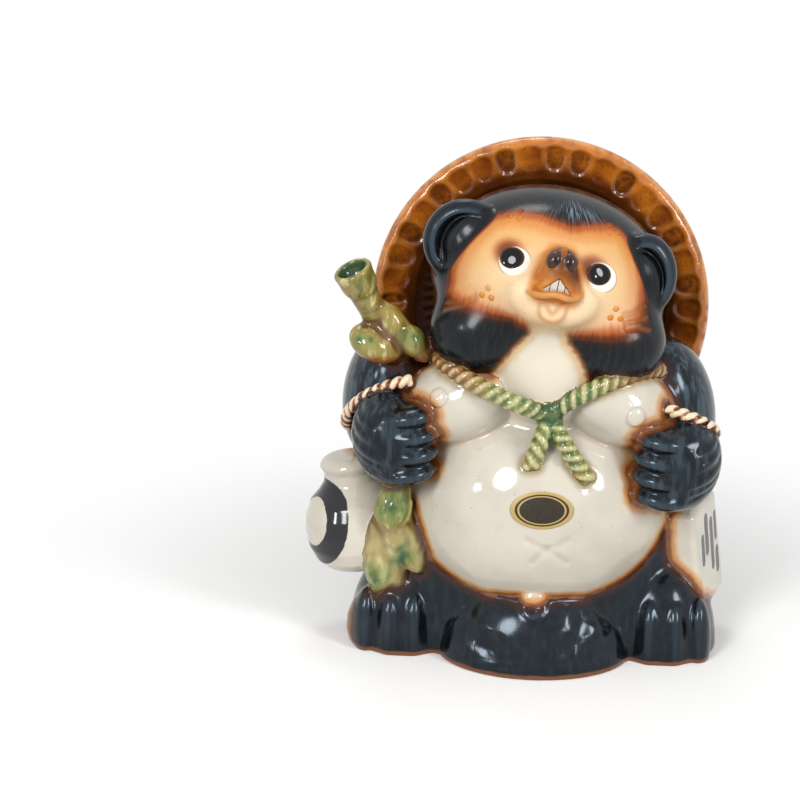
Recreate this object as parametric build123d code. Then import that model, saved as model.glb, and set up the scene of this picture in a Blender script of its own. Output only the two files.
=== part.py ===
from build123d import *
import os
from math import cos, radians, sin

# Seated tanuki figure in glazed stoneware: a hollow cast torso, open underneath, with the
# head, hat, limbs and the things that the animal carries luted on as separate clay pieces.
# Millimetres. +Z is up, the figure faces -Y, and +X is on the viewer's right.
# Each piece is cut back to the pieces that carry it, so that the luted faces meet.

# Torso: a shell cast in a front half and a back half
TORSO_WIDTH = 156.0
TORSO_DEPTH = 98.0
TORSO_HEIGHT = 142.0
TORSO_SET_BACK = 6.0
WALL = 6.0
MOULD_SEAM = 4.0
# Height as a share of the whole, and width there as a share of the widest
TORSO_FORM = ((0.0, 1.0), (0.1, 1.0), (0.35, 0.93), (0.6, 0.88), (0.8, 0.82), (0.92, 0.7), (1.0, 0.45))

# Head: leans to the viewer's right
HEAD_WIDTH = 104.0
HEAD_DEPTH = 90.0
HEAD_HEIGHT = 80.0
HEAD_SINK = 15.0
HEAD_ASIDE = 4.0
HEAD_FORWARD = 5.0
HEAD_LEAN = 10.0
HEAD_TURN = 2.0

# Hat: a sedge hat worn on the back of the head, its underside facing forwards
HAT_DIAMETER = 153.0
HAT_THICKNESS = 9.0
HAT_CROWN_DEPTH = 32.0
HAT_BRIM_WIDTH = 19.0
HAT_GROOVE_WIDTH = 8.0
HAT_GROOVE_DEPTH = 8.0
HAT_DROP = 20.0
HAT_BEHIND = 29.0
HAT_LEAN = 7.0
DIMPLE_COUNT = 38
DIMPLE_LENGTH = 12.0
DIMPLE_SHARE = 0.8
DIMPLE_DEPTH = 1.6

# Belly, chest and throat: the pale front of the figure
BELLY_WIDTH = 118.0
BELLY_DEPTH = 100.0
BELLY_HEIGHT = 102.0
BELLY_FOOT = 16.0
BELLY_BULGE = 20.0
BELLY_ASIDE = 1.0
CHEST_WIDTH = 56.0
CHEST_DEPTH = 46.0
CHEST_HEIGHT = 38.0
CHEST_SPREAD = 32.0
CHEST_LEVEL = 118.0
CHEST_BULGE = 14.0
CHEST_SLOPE = 22.0
NIPPLE_DIAMETER = 6.0
NIPPLE_ELEVATION = {"left": 26.0, "right": 8.0}
THROAT_WIDTH = 54.0
THROAT_DEPTH = 52.0
THROAT_HEIGHT = 60.0
THROAT_LEVEL = 132.0
THROAT_BULGE = 20.0
LABEL_WIDTH = 27.0
LABEL_HEIGHT = 16.0
LABEL_THICKNESS = 0.3
LABEL_AZIMUTH = 2.6
LABEL_ELEVATION = 12.7

# Face, in degrees from the head's own front, and in sizes on its surface
JOWL_SIZE = (44.0, 40.0, 40.0)
JOWL_SPREAD = 29.0
JOWL_LEVEL = 147.0
JOWL_FORWARD = 22.0
JOWL_LEAN = 4.0
EYE_DIAMETER = 14.2
PUPIL_DIAMETER = 9.8
EYE_AZIMUTH = 21.8
EYE_ELEVATION = 19.3
EYE_DOME = 1.5
EYE_RIM = 0.6
GLANCE_ANGLE = 140.0
MUZZLE_WIDTH = 22.0
MUZZLE_HEIGHT = 22.0
MUZZLE_REACH = 12.0
MUZZLE_ELEVATION = 17.0
NOSE_WIDTH = 12.0
NOSE_HEIGHT = 9.0
NOSE_REACH = 4.0
TOOTH_COUNT = 4
TOOTH_WIDTH = 3.0
TOOTH_HEIGHT = 5.0
LIP_THICKNESS = 4.5
CHIN_WIDTH = 15.0
CHIN_HEIGHT = 12.0
SPOT_DIAMETER = 2.8
SPOT_SPACING = 5.0
SPOT_GROUPS = ((-35.6, 47.8), (36.2, 49.6), (-31.1, -3.4), (31.0, -1.8))

# Ears
EAR_WIDTH = {"left": 25.0, "right": 21.0}
EAR_HEIGHT = {"left": 48.0, "right": 42.0}
EAR_THICKNESS = 20.0
EAR_RIM = 4.5
EAR_AZIMUTH = {"left": 64.0, "right": 59.0}
EAR_ELEVATION = {"left": 18.0, "right": 15.0}
EAR_SINK = 2.0
EAR_TUCK = 19.0

# Arms, paws and the rope cuffs at the wrists
ARM_WIDTH = 40.0
ARM_DEPTH = 50.0
ARM_LENGTH = 68.0
ARM_LEVEL = 112.0
ARM_OUT = 9.0
ARM_ASIDE = -4.0
PAW_WIDTH = 34.0
PAW_DEPTH = 38.0
PAW_LENGTH = 44.0
PAW_SPREAD = 63.0
PAW_LEVEL = 101.0
PAW_FORWARD = 30.0
RIGHT_PAW_DROP = 8.0
FINGER_COUNT = 4
FINGER_LENGTH = 24.0
FINGER_DEPTH = 23.0
CUFF_WIDTH = 7.0
CUFF_BEADS = 7
# Start, middle and end of each cuff, from the middle of its paw
CUFF_PATH = {
    "left": ((8.0, -1.0, 26.0), (-12.0, 1.0, 17.0), (-21.0, 17.0, -1.0)),
    "right": ((-12.0, 1.0, 24.0), (2.0, -6.0, 22.5), (14.0, 3.0, 13.0)),
}

# Feet, the money bag between them, and the tail
FOOT_WIDTH = 52.0
FOOT_LENGTH = 58.0
FOOT_HEIGHT = 84.0
FOOT_SPREAD = 58.0
FOOT_FORWARD = 31.0
TOE_COUNT = 4
TOE_LENGTH = 20.0
TOE_HEIGHT = 40.0
BAG_WIDTH = 86.0
BAG_LENGTH = 60.0
BAG_HEIGHT = 76.0
BAG_FORWARD = 13.0
BAG_TIP_DIAMETER = 13.0
TIP_ELEVATION = -46.0
TAIL_WIDTH = 46.0
TAIL_DEPTH = 34.0
TAIL_HEIGHT = 84.0
TAIL_ASIDE = 26.0
TAIL_LEAN = -18.0

# Rope round the neck, with its knot and two loose ends
ROPE_WIDTH = 8.0
ROPE_FLATNESS = 0.7
ROPE_BEADS = 12
ROPE_BACK = 24.0
ROPE_SHOULDER = {"left": 136.0, "right": 129.0}
KNOT_SIZE = (12.0, 11.0, 15.0)
KNOT_ELEVATION = -32.0
LOOSE_END = {"left": (-3.0, 34.0), "right": (24.0, 27.0)}
LOOSE_END_BOW = 3.0
LOOSE_END_BEADS = 4

# Staff, flask and account book
STAFF_DIAMETER = 14.0
STAFF_TOP = 176.0
STAFF_TOP_DIAMETER = 17.0
STAFF_DISH_DEPTH = 4.0
KNOB_DIAMETER = 20.0
FLASK_DIAMETER = 46.0
FLASK_HEIGHT = 52.0
FLASK_NECK_DIAMETER = 25.0
FLASK_LIP_DIAMETER = 30.0
FLASK_LEVEL = 33.0
FLASK_OUT = 4.0
FLASK_LEAN = -6.0
BOOK_LENGTH = 36.0
BOOK_THICKNESS = 22.0
BOOK_HEIGHT = 48.0
BOOK_LEVEL = 17.0
BOOK_OUT = -8.0
BOOK_TURN = -20.0
BOOK_LEAN = -8.0
BOOK_EDGE_RADIUS = 3.0

SIDES = {"left": -1, "right": 1}


def egg_at(place, size):
    # The ball's seam is turned to the back, where it is cut away
    ball = Rot(0, 0, 90) * Sphere(1)
    return place * scale(ball, by=tuple(side / 2 for side in size))


class Egg:
    # An ellipsoid, and the frame on it that other pieces are placed by.

    def __init__(self, centre, size, turn=(0, 0, 0)):
        self.place = Pos(*centre) * Rot(*turn)
        self.radii = tuple(side / 2 for side in size)
        self.solid = egg_at(self.place, size)

    def spot(self, azimuth, elevation, sink=0):
        # A frame on the surface: z points out, x level to the viewer's right. Azimuth is from
        # the front towards +X.
        level = cos(radians(elevation))
        way = (sin(radians(azimuth)) * level, -cos(radians(azimuth)) * level, sin(radians(elevation)))
        point = Vector(*[r * w for r, w in zip(self.radii, way)])
        normal = Vector(*[w / r for r, w in zip(self.radii, way)]).normalized()
        across = Vector(0, 0, 1).cross(normal)
        return self.place * Plane(point - normal * sink, x_dir=across, z_dir=normal).location


def torso_share(height):
    # Linear between the sections of the torso
    up = height / TORSO_HEIGHT
    for (low, low_share), (high, high_share) in zip(TORSO_FORM, TORSO_FORM[1:]):
        if up <= high:
            return low_share + (high_share - low_share) * (up - low) / (high - low)
    return TORSO_FORM[-1][1]


def torso_side(height):
    return TORSO_WIDTH / 2 * torso_share(height)


def torso_front(height):
    return TORSO_SET_BACK - TORSO_DEPTH / 2 * torso_share(height)


def torso_back(height):
    return TORSO_SET_BACK + TORSO_DEPTH / 2 * torso_share(height)


def torso_loft(inset, top):
    sections = []
    for up, share in TORSO_FORM:
        oval = Ellipse(TORSO_WIDTH / 2 * share - inset, TORSO_DEPTH / 2 * share - inset)
        sections.append(Pos(0, TORSO_SET_BACK, up * top) * oval)
    return loft(sections)


def above_floor(piece):
    reach = 2 * TORSO_WIDTH
    return piece & Pos(0, 0, reach / 2) * Box(reach, reach, reach)


def twisted_cord(path, width, beads):
    # Two-strand cord: an oval section that turns half round for each bead
    steps = 4 * beads
    sections = []
    for step in range(steps + 1):
        along = step / steps
        oval = Ellipse(width / 2, width / 2 * ROPE_FLATNESS)
        sections.append(path.location_at(along) * Rot(0, 0, 180 * beads * along) * oval)
    return loft(sections)


def hat_disc():
    # Local z runs out of the hat's underside, towards the viewer
    rim = HAT_DIAMETER / 2
    brim = rim - HAT_BRIM_WIDTH
    crown = brim - HAT_GROOVE_WIDTH
    half = HAT_THICKNESS / 2
    with BuildPart() as hat:
        with BuildSketch(Plane.XZ):
            with BuildLine():
                Line((0, -HAT_CROWN_DEPTH), (0, -HAT_CROWN_DEPTH + HAT_THICKNESS))
                Line((0, -HAT_CROWN_DEPTH + HAT_THICKNESS), (crown, -HAT_GROOVE_DEPTH - half))
                Line((crown, -HAT_GROOVE_DEPTH - half), (brim, -half / 2))
                Line((brim, -half / 2), (rim - half, half))
                ThreePointArc((rim - half, half), (rim, 0), (rim - half, -half))
                ThreePointArc((rim - half, -half), (crown, -0.55 * HAT_CROWN_DEPTH), (0, -HAT_CROWN_DEPTH))
            make_face()
        revolve(axis=Axis.Z)
    return hat.part


def hat_dimples():
    rim = HAT_DIAMETER / 2
    ring = rim - HAT_BRIM_WIDTH / 2
    pitch = 360 / DIMPLE_COUNT
    width = DIMPLE_SHARE * ring * radians(pitch)
    dimples = []
    for step in range(DIMPLE_COUNT):
        spot = Rot(0, 0, step * pitch) * Pos(ring, 0, HAT_THICKNESS / 8 + DIMPLE_DEPTH / 2)
        dimples.append(egg_at(spot, (DIMPLE_LENGTH, width, 4 * DIMPLE_DEPTH)))
    return dimples


def ear_form(head, name, side):
    # A cup whose top leans in over the head
    width = EAR_WIDTH[name]
    height = EAR_HEIGHT[name]
    spot = head.spot(side * EAR_AZIMUTH[name], EAR_ELEVATION[name], EAR_SINK)
    base = Pos(*spot.position) * Rot(0, HEAD_LEAN - side * EAR_TUCK, HEAD_TURN)
    cup = egg_at(base, (width, EAR_THICKNESS, height))
    hollow = (width - 2 * EAR_RIM, EAR_THICKNESS, height - 2 * EAR_RIM)
    opening = egg_at(base * Pos(0, -EAR_THICKNESS * 0.55, 0), hollow)
    fold = (width - 3.2 * EAR_RIM, EAR_THICKNESS * 0.7, height - 4 * EAR_RIM)
    lobe = egg_at(base * Pos(-side * EAR_RIM / 2, -EAR_THICKNESS * 0.12, -EAR_RIM), fold)
    return cup - opening + lobe


def muzzle_form(spot):
    # Level ovals from the mouth up to the nose; each reaches out from the face
    rows = (
        (-0.5, 0.8, 0.55), (-0.3, 1.0, 0.9), (0.05, 0.82, 1.05), (0.35, 0.58, 1.0), (0.5, 0.36, 0.6),
    )
    sections = []
    for up, width, reach in rows:
        level = spot * Plane((0, up * MUZZLE_HEIGHT, 0), x_dir=(1, 0, 0), z_dir=(0, 1, 0)).location
        sections.append(level * Ellipse(width * MUZZLE_WIDTH / 2, reach * MUZZLE_REACH))
    return loft(sections)


def teeth_forms(spot):
    teeth = []
    for step in range(TOOTH_COUNT):
        across = step - (TOOTH_COUNT - 1) / 2
        height = TOOTH_HEIGHT * (1 - 0.18 * abs(across))
        reach = MUZZLE_REACH * (0.9 - 0.05 * across**2)
        at = Pos(across * TOOTH_WIDTH, -0.3 * MUZZLE_HEIGHT + height / 2, reach)
        tooth = Box(TOOTH_WIDTH * 0.92, height, LIP_THICKNESS)
        teeth.append(spot * at * fillet(tooth.edges().filter_by(Axis.Z), TOOTH_WIDTH * 0.2))
    return teeth


def paw_forms(centre, side):
    # A fist: rounded back of the hand, with the fingers folded in towards the belly
    x, y, z = centre
    eggs = [egg_at(Pos(x, y, z) * Rot(0, side * 10, 0), (PAW_WIDTH, PAW_DEPTH, PAW_LENGTH))]
    pitch = PAW_LENGTH * 0.78 / FINGER_COUNT
    for step in range(FINGER_COUNT):
        up = (FINGER_COUNT - 1) / 2 - step
        at = Pos(x - side * (PAW_WIDTH * 0.3 - abs(up) * 1.2), y - PAW_DEPTH * 0.22, z + up * pitch)
        eggs.append(egg_at(at * Rot(0, side * 8, 0), (FINGER_LENGTH, FINGER_DEPTH, pitch * 1.24)))
    return eggs


def foot_forms(side):
    x = side * FOOT_SPREAD
    y = torso_front(0) + FOOT_FORWARD
    eggs = [egg_at(Pos(x, y, 0), (FOOT_WIDTH, FOOT_LENGTH, FOOT_HEIGHT))]
    pitch = FOOT_WIDTH * 0.84 / TOE_COUNT
    for step in range(TOE_COUNT):
        across = step - (TOE_COUNT - 1) / 2
        at = Pos(x + across * pitch, y - FOOT_LENGTH * (0.34 - 0.03 * across**2), TOE_HEIGHT * 0.18)
        eggs.append(egg_at(at, (pitch * 1.14, TOE_LENGTH, TOE_HEIGHT)))
    return [above_floor(egg) for egg in eggs]


def staff_forms(paw_centre):
    # A knotty branch: it stands on the floor, runs through the fist and leans out at the top
    x, y, z = paw_centre
    points = (
        (x - 7, y + 12, 0),
        (x - 4, y + 5, 0.3 * z),
        (x + 2, y - 1, 0.6 * z),
        (x + 2, y + 2, z),
        (x + 2, y + 15, z + 23),
        (x - 1, y + 12, z + 39),
        (x - 16.5, y - 1, STAFF_TOP),
    )
    path = Spline(*points, tangents=[(0, -0.3, 1), (-0.4, -0.35, 1)])
    sections = []
    for point, diameter in zip(points, [STAFF_DIAMETER] * 6 + [STAFF_TOP_DIAMETER]):
        sections.append(path.location_at(path.param_at_point(point)) * Circle(diameter / 2))
    dish = 0.72 * STAFF_TOP_DIAMETER
    stem = loft(sections) - egg_at(path.location_at(1), (dish, dish, 2 * STAFF_DISH_DEPTH))
    knob = KNOB_DIAMETER
    for at, size in (
        (Pos(x - 8, y + 4, z + 37) * Rot(20, 35, 0), (knob * 1.15, knob * 0.95, knob * 0.75)),
        (Pos(x + 8, y + 5, z + 38) * Rot(0, -25, 0), (knob * 0.6, knob * 0.65, knob * 0.75)),
        (Pos(x + 1, y - 2, 0.68 * z) * Rot(-15, 20, 0), (knob * 0.8, knob * 0.75, knob)),
        (Pos(x - 5, y + 1, 0.36 * z) * Rot(15, 0, 0), (knob * 0.65, knob * 0.65, knob * 0.95)),
    ):
        stem += egg_at(at, size)
    return [above_floor(stem)]


def flask_form():
    radius = FLASK_DIAMETER / 2
    neck = FLASK_NECK_DIAMETER / 2
    lip = FLASK_LIP_DIAMETER / 2
    shoulder = FLASK_HEIGHT * 0.72
    with BuildPart() as flask:
        with BuildSketch(Plane.XZ):
            with BuildLine():
                Line((0, 0), (0.62 * radius, 0))
                ThreePointArc((0.62 * radius, 0), (radius, 0.36 * FLASK_HEIGHT), (neck, shoulder))
                Line((neck, shoulder), (neck, 0.86 * FLASK_HEIGHT))
                ThreePointArc((neck, 0.86 * FLASK_HEIGHT), (lip, 0.93 * FLASK_HEIGHT), (neck, FLASK_HEIGHT))
                Line((neck, FLASK_HEIGHT), (0, FLASK_HEIGHT))
                Line((0, FLASK_HEIGHT), (0, 0))
            make_face()
        revolve(axis=Axis.Z)
    place = Pos(-torso_side(FLASK_LEVEL) - FLASK_OUT, torso_front(FLASK_LEVEL) + 30, FLASK_LEVEL)
    return place * Rot(0, FLASK_LEAN, 0) * flask.part


def book_form():
    book = Box(BOOK_THICKNESS, BOOK_LENGTH, BOOK_HEIGHT)
    book = fillet(book.edges(), BOOK_EDGE_RADIUS)
    middle = BOOK_LEVEL + BOOK_HEIGHT / 2
    place = Pos(torso_side(BOOK_LEVEL) + BOOK_OUT, torso_front(BOOK_LEVEL) + 38, middle)
    return place * Rot(0, BOOK_LEAN, BOOK_TURN) * book


def clay_forms():
    # Every piece at its full form, before it is cut back to what carries it. Each is a list of
    # solids that are joined later.
    forms = {"torso": [torso_loft(0, TORSO_HEIGHT)]}

    head_centre = (HEAD_ASIDE, -HEAD_FORWARD, TORSO_HEIGHT - HEAD_SINK + HEAD_HEIGHT / 2)
    head = Egg(head_centre, (HEAD_WIDTH, HEAD_DEPTH, HEAD_HEIGHT), (0, HEAD_LEAN, HEAD_TURN))
    forms["head"] = [head.solid]
    hat_centre = (0, -HEAD_FORWARD + HAT_BEHIND, head_centre[2] - HAT_DROP)
    hat_place = Pos(*hat_centre) * Rot(90 - HAT_LEAN, 0, 0)
    forms["hat"] = [hat_place * hat_disc()]
    forms["hat_dimples"] = [hat_place * dimple for dimple in hat_dimples()]

    belly_level = BELLY_FOOT + BELLY_HEIGHT / 2
    belly_centre = (BELLY_ASIDE, torso_front(belly_level) - BELLY_BULGE + BELLY_DEPTH / 2, belly_level)
    belly_size = (BELLY_WIDTH, BELLY_DEPTH, BELLY_HEIGHT)
    belly = Egg(belly_centre, belly_size)
    forms["belly"] = [belly.solid]
    chest_y = torso_front(CHEST_LEVEL) - CHEST_BULGE + CHEST_DEPTH / 2
    chests = {}
    for name, side in SIDES.items():
        centre = (BELLY_ASIDE + side * CHEST_SPREAD, chest_y, CHEST_LEVEL)
        chest = Egg(centre, (CHEST_WIDTH, CHEST_DEPTH, CHEST_HEIGHT), (0, side * CHEST_SLOPE, 0))
        chests[name] = chest
        forms[f"chest_{name}"] = [chest.solid]
        nipple_spot = chest.spot(side * 18, NIPPLE_ELEVATION[name])
        forms[f"nipple_{name}"] = [egg_at(nipple_spot, (NIPPLE_DIAMETER,) * 3)]
    throat_y = torso_front(THROAT_LEVEL) - THROAT_BULGE + THROAT_DEPTH / 2
    throat = Egg((HEAD_ASIDE, throat_y, THROAT_LEVEL), (THROAT_WIDTH, THROAT_DEPTH, THROAT_HEIGHT))
    forms["throat"] = [throat.solid]

    for name, side in SIDES.items():
        across = side * JOWL_SPREAD
        jowl_level = JOWL_LEVEL - across * sin(radians(JOWL_LEAN))
        jowl_centre = (HEAD_ASIDE + across, -HEAD_FORWARD - JOWL_FORWARD, jowl_level)
        jowl_place = Pos(*jowl_centre) * Rot(0, JOWL_LEAN, side * 30)
        forms[f"jowl_{name}"] = [egg_at(jowl_place, JOWL_SIZE)]
        eye_spot = head.spot(side * EYE_AZIMUTH, EYE_ELEVATION)
        offset = (EYE_DIAMETER - PUPIL_DIAMETER) / 2 - EYE_RIM
        glance = Pos(offset * cos(radians(GLANCE_ANGLE)), offset * sin(radians(GLANCE_ANGLE)), 0)
        forms[f"pupil_{name}"] = [egg_at(eye_spot * glance, (PUPIL_DIAMETER, PUPIL_DIAMETER, 2 * EYE_DOME))]
        forms[f"eye_white_{name}"] = [egg_at(eye_spot, (EYE_DIAMETER, EYE_DIAMETER, 2 * EYE_DOME))]
        forms[f"ear_{name}"] = [ear_form(head, name, side)]
    spot = head.spot(0, MUZZLE_ELEVATION)
    forms["muzzle"] = [muzzle_form(spot)]
    nose_spot = spot * Pos(0, 0.36 * MUZZLE_HEIGHT, 0.8 * MUZZLE_REACH)
    forms["nose"] = [egg_at(nose_spot, (NOSE_WIDTH, NOSE_HEIGHT, 2 * NOSE_REACH))]
    lip_spot = spot * Pos(0, -0.42 * MUZZLE_HEIGHT, 0.3 * MUZZLE_REACH)
    forms["lower_lip"] = [egg_at(lip_spot, (1.1 * MUZZLE_WIDTH, LIP_THICKNESS, 1.5 * MUZZLE_REACH))]
    chin_spot = spot * Pos(0, -0.75 * MUZZLE_HEIGHT, 0)
    forms["chin"] = [egg_at(chin_spot, (CHIN_WIDTH, CHIN_HEIGHT, MUZZLE_REACH))]
    forms["teeth"] = teeth_forms(spot)

    paws = {}
    for name, side in SIDES.items():
        drop = RIGHT_PAW_DROP if side > 0 else 0
        arm_x = ARM_ASIDE + side * (torso_side(ARM_LEVEL) + ARM_OUT - ARM_WIDTH / 4)
        arm_place = Pos(arm_x, -2, ARM_LEVEL - drop / 2) * Rot(12, -side * 10, 0)
        forms[f"arm_{name}"] = [egg_at(arm_place, (ARM_WIDTH, ARM_DEPTH, ARM_LENGTH))]
        paws[name] = (side * PAW_SPREAD, -2 - PAW_FORWARD, PAW_LEVEL - drop)
        forms[f"paw_{name}"] = paw_forms(paws[name], side)
        forms[f"foot_{name}"] = foot_forms(side)
    forms["staff"] = staff_forms(paws["left"])
    bag_place = Pos(BELLY_ASIDE, torso_front(0) + BAG_FORWARD, 0)
    forms["money_bag"] = [above_floor(egg_at(bag_place, (BAG_WIDTH, BAG_LENGTH, BAG_HEIGHT)))]
    forms["bag_tip"] = [egg_at(belly.spot(0, TIP_ELEVATION), (BAG_TIP_DIAMETER,) * 3)]
    tail_level = 0.42 * TAIL_HEIGHT
    tail_place = Pos(TAIL_ASIDE, torso_back(tail_level), tail_level) * Rot(0, TAIL_LEAN, 0)
    forms["tail"] = [above_floor(egg_at(tail_place, (TAIL_WIDTH, TAIL_DEPTH, TAIL_HEIGHT)))]
    forms["flask"] = [flask_form()]
    forms["account_book"] = [book_form()]

    skin = Egg(belly_centre, tuple(side + 2 * LABEL_THICKNESS for side in belly_size))
    oval = extrude(Ellipse(LABEL_WIDTH / 2, LABEL_HEIGHT / 2), WALL, both=True)
    forms["label"] = [skin.solid & belly.spot(LABEL_AZIMUTH, LABEL_ELEVATION) * oval]

    spots = []
    for azimuth, elevation in SPOT_GROUPS:
        middle = head.spot(azimuth, elevation)
        for turn in (90, 210, 330):
            at = middle * Rot(0, 0, turn) * Pos(SPOT_SPACING / 2, 0, 0)
            spots.append(egg_at(at, (SPOT_DIAMETER,) * 3))
    forms["whisker_spots"] = spots

    # Rope: from each shoulder down to the knot, then the two loose ends over the belly
    knot = throat.spot(4, KNOT_ELEVATION).position
    forms["rope_knot"] = [egg_at(Pos(*knot), KNOT_SIZE)]
    for name, side in SIDES.items():
        level = ROPE_SHOULDER[name]
        shoulder = Vector(side * torso_side(level) * 0.97, TORSO_SET_BACK - ROPE_BACK, level)
        over = chests[name].spot(-side * 12, 42, -ROPE_WIDTH * 0.2).position
        collar = ThreePointArc(shoulder, over, knot)
        forms[f"rope_{name}"] = [twisted_cord(collar, ROPE_WIDTH, ROPE_BEADS)]
        end = belly.spot(*LOOSE_END[name]).position
        middle = (knot + end) * 0.5 - Vector(0, LOOSE_END_BOW, 0)
        loose = ThreePointArc(knot, middle, end)
        forms[f"rope_end_{name}"] = [twisted_cord(loose, ROPE_WIDTH, LOOSE_END_BEADS)]
        cuff = [Vector(*paws[name]) + Vector(*point) for point in CUFF_PATH[name]]
        forms[f"cuff_{name}"] = [twisted_cord(ThreePointArc(*cuff), CUFF_WIDTH, CUFF_BEADS)]
    return forms


# What each piece is luted to, and so cut back to
CARRIERS = {
    "head": ["torso"],
    "hat": ["head", "torso"],
    "belly": ["torso"],
    "throat": ["torso", "head", "belly"],
    "chest_left": ["torso", "belly", "throat", "head"],
    "chest_right": ["torso", "belly", "throat", "head"],
    "nipple_left": ["chest_left"],
    "nipple_right": ["chest_right"],
    "jowl_left": ["head", "torso", "throat", "chest_left"],
    "jowl_right": ["head", "torso", "throat", "chest_right"],
    "pupil_left": ["head"],
    "pupil_right": ["head"],
    "eye_white_left": ["head", "pupil_left"],
    "eye_white_right": ["head", "pupil_right"],
    "ear_left": ["head", "hat", "jowl_left"],
    "ear_right": ["head", "hat", "jowl_right"],
    "muzzle": ["head"],
    "nose": ["muzzle", "head"],
    "lower_lip": ["muzzle", "head"],
    "chin": ["lower_lip", "muzzle", "head", "jowl_left", "jowl_right", "throat"],
    "teeth": ["muzzle", "lower_lip"],
    "whisker_spots": ["head", "jowl_left", "jowl_right"],
    "staff": ["torso", "hat", "belly", "chest_left"],
    "arm_left": ["torso", "hat", "staff", "chest_left", "head", "jowl_left"],
    "arm_right": ["torso", "hat", "chest_right", "head", "jowl_right"],
    "paw_left": ["torso", "arm_left", "staff", "belly", "chest_left", "nipple_left"],
    "paw_right": ["torso", "arm_right", "belly", "chest_right", "nipple_right"],
    "foot_left": ["torso", "staff", "belly"],
    "foot_right": ["torso", "belly"],
    "money_bag": ["torso", "belly", "foot_left", "foot_right"],
    "bag_tip": ["belly", "money_bag"],
    "tail": ["torso", "hat"],
    "flask": ["torso", "staff", "arm_left", "paw_left", "foot_left"],
    "account_book": ["torso", "belly", "arm_right", "paw_right", "foot_right"],
    "rope_knot": ["throat", "chest_left", "chest_right", "belly"],
    "rope_left": [
        "torso", "throat", "chest_left", "jowl_left", "head", "belly", "rope_knot", "arm_left",
    ],
    "rope_right": [
        "torso", "throat", "chest_right", "jowl_right", "head", "belly", "rope_knot", "arm_right",
    ],
    "rope_end_left": [
        "throat", "belly", "chest_left", "chest_right", "rope_knot", "rope_left", "rope_right",
    ],
    "rope_end_right": [
        "throat", "belly", "chest_left", "chest_right", "rope_knot", "rope_left", "rope_right",
        "rope_end_left",
    ],
    "cuff_left": ["arm_left", "paw_left", "staff", "chest_left", "torso"],
    "cuff_right": ["arm_right", "paw_right", "chest_right", "torso"],
    "label": ["belly"],
}
# Groups of small alike pieces that share a node
GROUPS = ("teeth", "whisker_spots")


def apart(one, other):
    # True where the boxes of two solids do not meet
    a, b = one.bounding_box(), other.bounding_box()
    gaps = []
    for low, high, other_low, other_high in zip(a.min, a.max, b.min, b.max):
        gaps += [low - other_high, other_low - high]
    return max(gaps) > 0


def cut_back(solid, cutters):
    # One cutter at a time; crumbs left behind a cutter are not kept
    for cutter in cutters:
        if not apart(solid, cutter):
            solid = max((solid - cutter).solids(), key=lambda crumb: crumb.volume)
    return solid


def seated(name, forms):
    cutters = [cutter for carrier in CARRIERS[name] for cutter in forms[carrier]]
    if name == "hat":
        return cut_back((forms["hat"][0] - forms["hat_dimples"]).solid(), cutters)
    solids = [cut_back(solid, cutters) for solid in forms[name]]
    if name in GROUPS:
        return Compound(solids)
    whole = solids[0]
    for solid in solids[1:]:
        whole = (whole + solid).solid()
    return whole


def torso_shells(torso):
    shell = torso - torso_loft(WALL, TORSO_HEIGHT - WALL)
    reach = 2 * TORSO_WIDTH
    front = Pos(0, MOULD_SEAM - reach / 2, reach / 2) * Box(reach, reach, 2 * reach)
    return {"torso_front_shell": shell & front, "torso_back_shell": shell - front}


def main():
    os.makedirs("parts", exist_ok=True)
    forms = clay_forms()
    pieces = torso_shells(forms["torso"][0])
    for name in CARRIERS:
        pieces[name] = seated(name, forms)
    whole = Compound(list(pieces.values())).bounding_box()
    middle = Pos(-whole.center().X, -whole.center().Y, -whole.min.Z)
    for name, piece in pieces.items():
        export_step(middle * piece, f"parts/{name}.step")
    print("overall", whole.size, "moved by", middle.position)


main()
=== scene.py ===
import math
from functools import partial
import bpy
import numpy as np
import openvdb
from mathutils import Matrix, Vector, kdtree


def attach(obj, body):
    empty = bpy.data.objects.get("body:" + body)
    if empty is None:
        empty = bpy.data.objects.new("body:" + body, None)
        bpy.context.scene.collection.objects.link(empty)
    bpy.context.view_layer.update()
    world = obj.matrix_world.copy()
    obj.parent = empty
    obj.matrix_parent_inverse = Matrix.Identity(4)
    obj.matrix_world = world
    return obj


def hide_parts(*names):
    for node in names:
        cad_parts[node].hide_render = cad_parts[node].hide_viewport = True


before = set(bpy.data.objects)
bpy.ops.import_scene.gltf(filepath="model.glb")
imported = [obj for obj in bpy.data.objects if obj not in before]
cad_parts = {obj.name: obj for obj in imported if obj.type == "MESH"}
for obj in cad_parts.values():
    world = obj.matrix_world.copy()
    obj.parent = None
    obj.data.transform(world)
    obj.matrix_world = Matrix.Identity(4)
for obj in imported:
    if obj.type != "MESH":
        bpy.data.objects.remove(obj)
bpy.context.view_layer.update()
print("frame loaded,", len(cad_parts), "clay pieces")

# The figure is modelled in millimetres about the foot of its torso, and moved into the frame at the end
clay = {
    "voxel": 0.62,
    "low": (-116, -84, -4),
    "high": (104, 78, 226),
    "shift": (7.996, -3.501, 0.0),
    "wall": 2.2, "ropeWall": 1.0,
}
voxel = clay["voxel"]
gridLow = np.array(clay["low"], np.float32)
gridCount = np.ceil((np.array(clay["high"]) - gridLow) / voxel).astype(int) + 1
field = np.full(gridCount, 40.0, np.float32)
owner = np.zeros(gridCount, np.int16)
pieceNames = []


def turned(angles):
    x, y, z = (math.radians(a) for a in angles)
    return np.array(Matrix.Rotation(x, 3, "X") @ Matrix.Rotation(y, 3, "Y") @ Matrix.Rotation(z, 3, "Z"))


def placed(point, axes=None):
    return {"at": np.array(point, float), "axes": np.eye(3) if axes is None else np.array(axes)}


def inside(place, point, turn=(0, 0, 0)):
    return placed(place["at"] + place["axes"] @ np.array(point, float), place["axes"] @ turned(turn))


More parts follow.
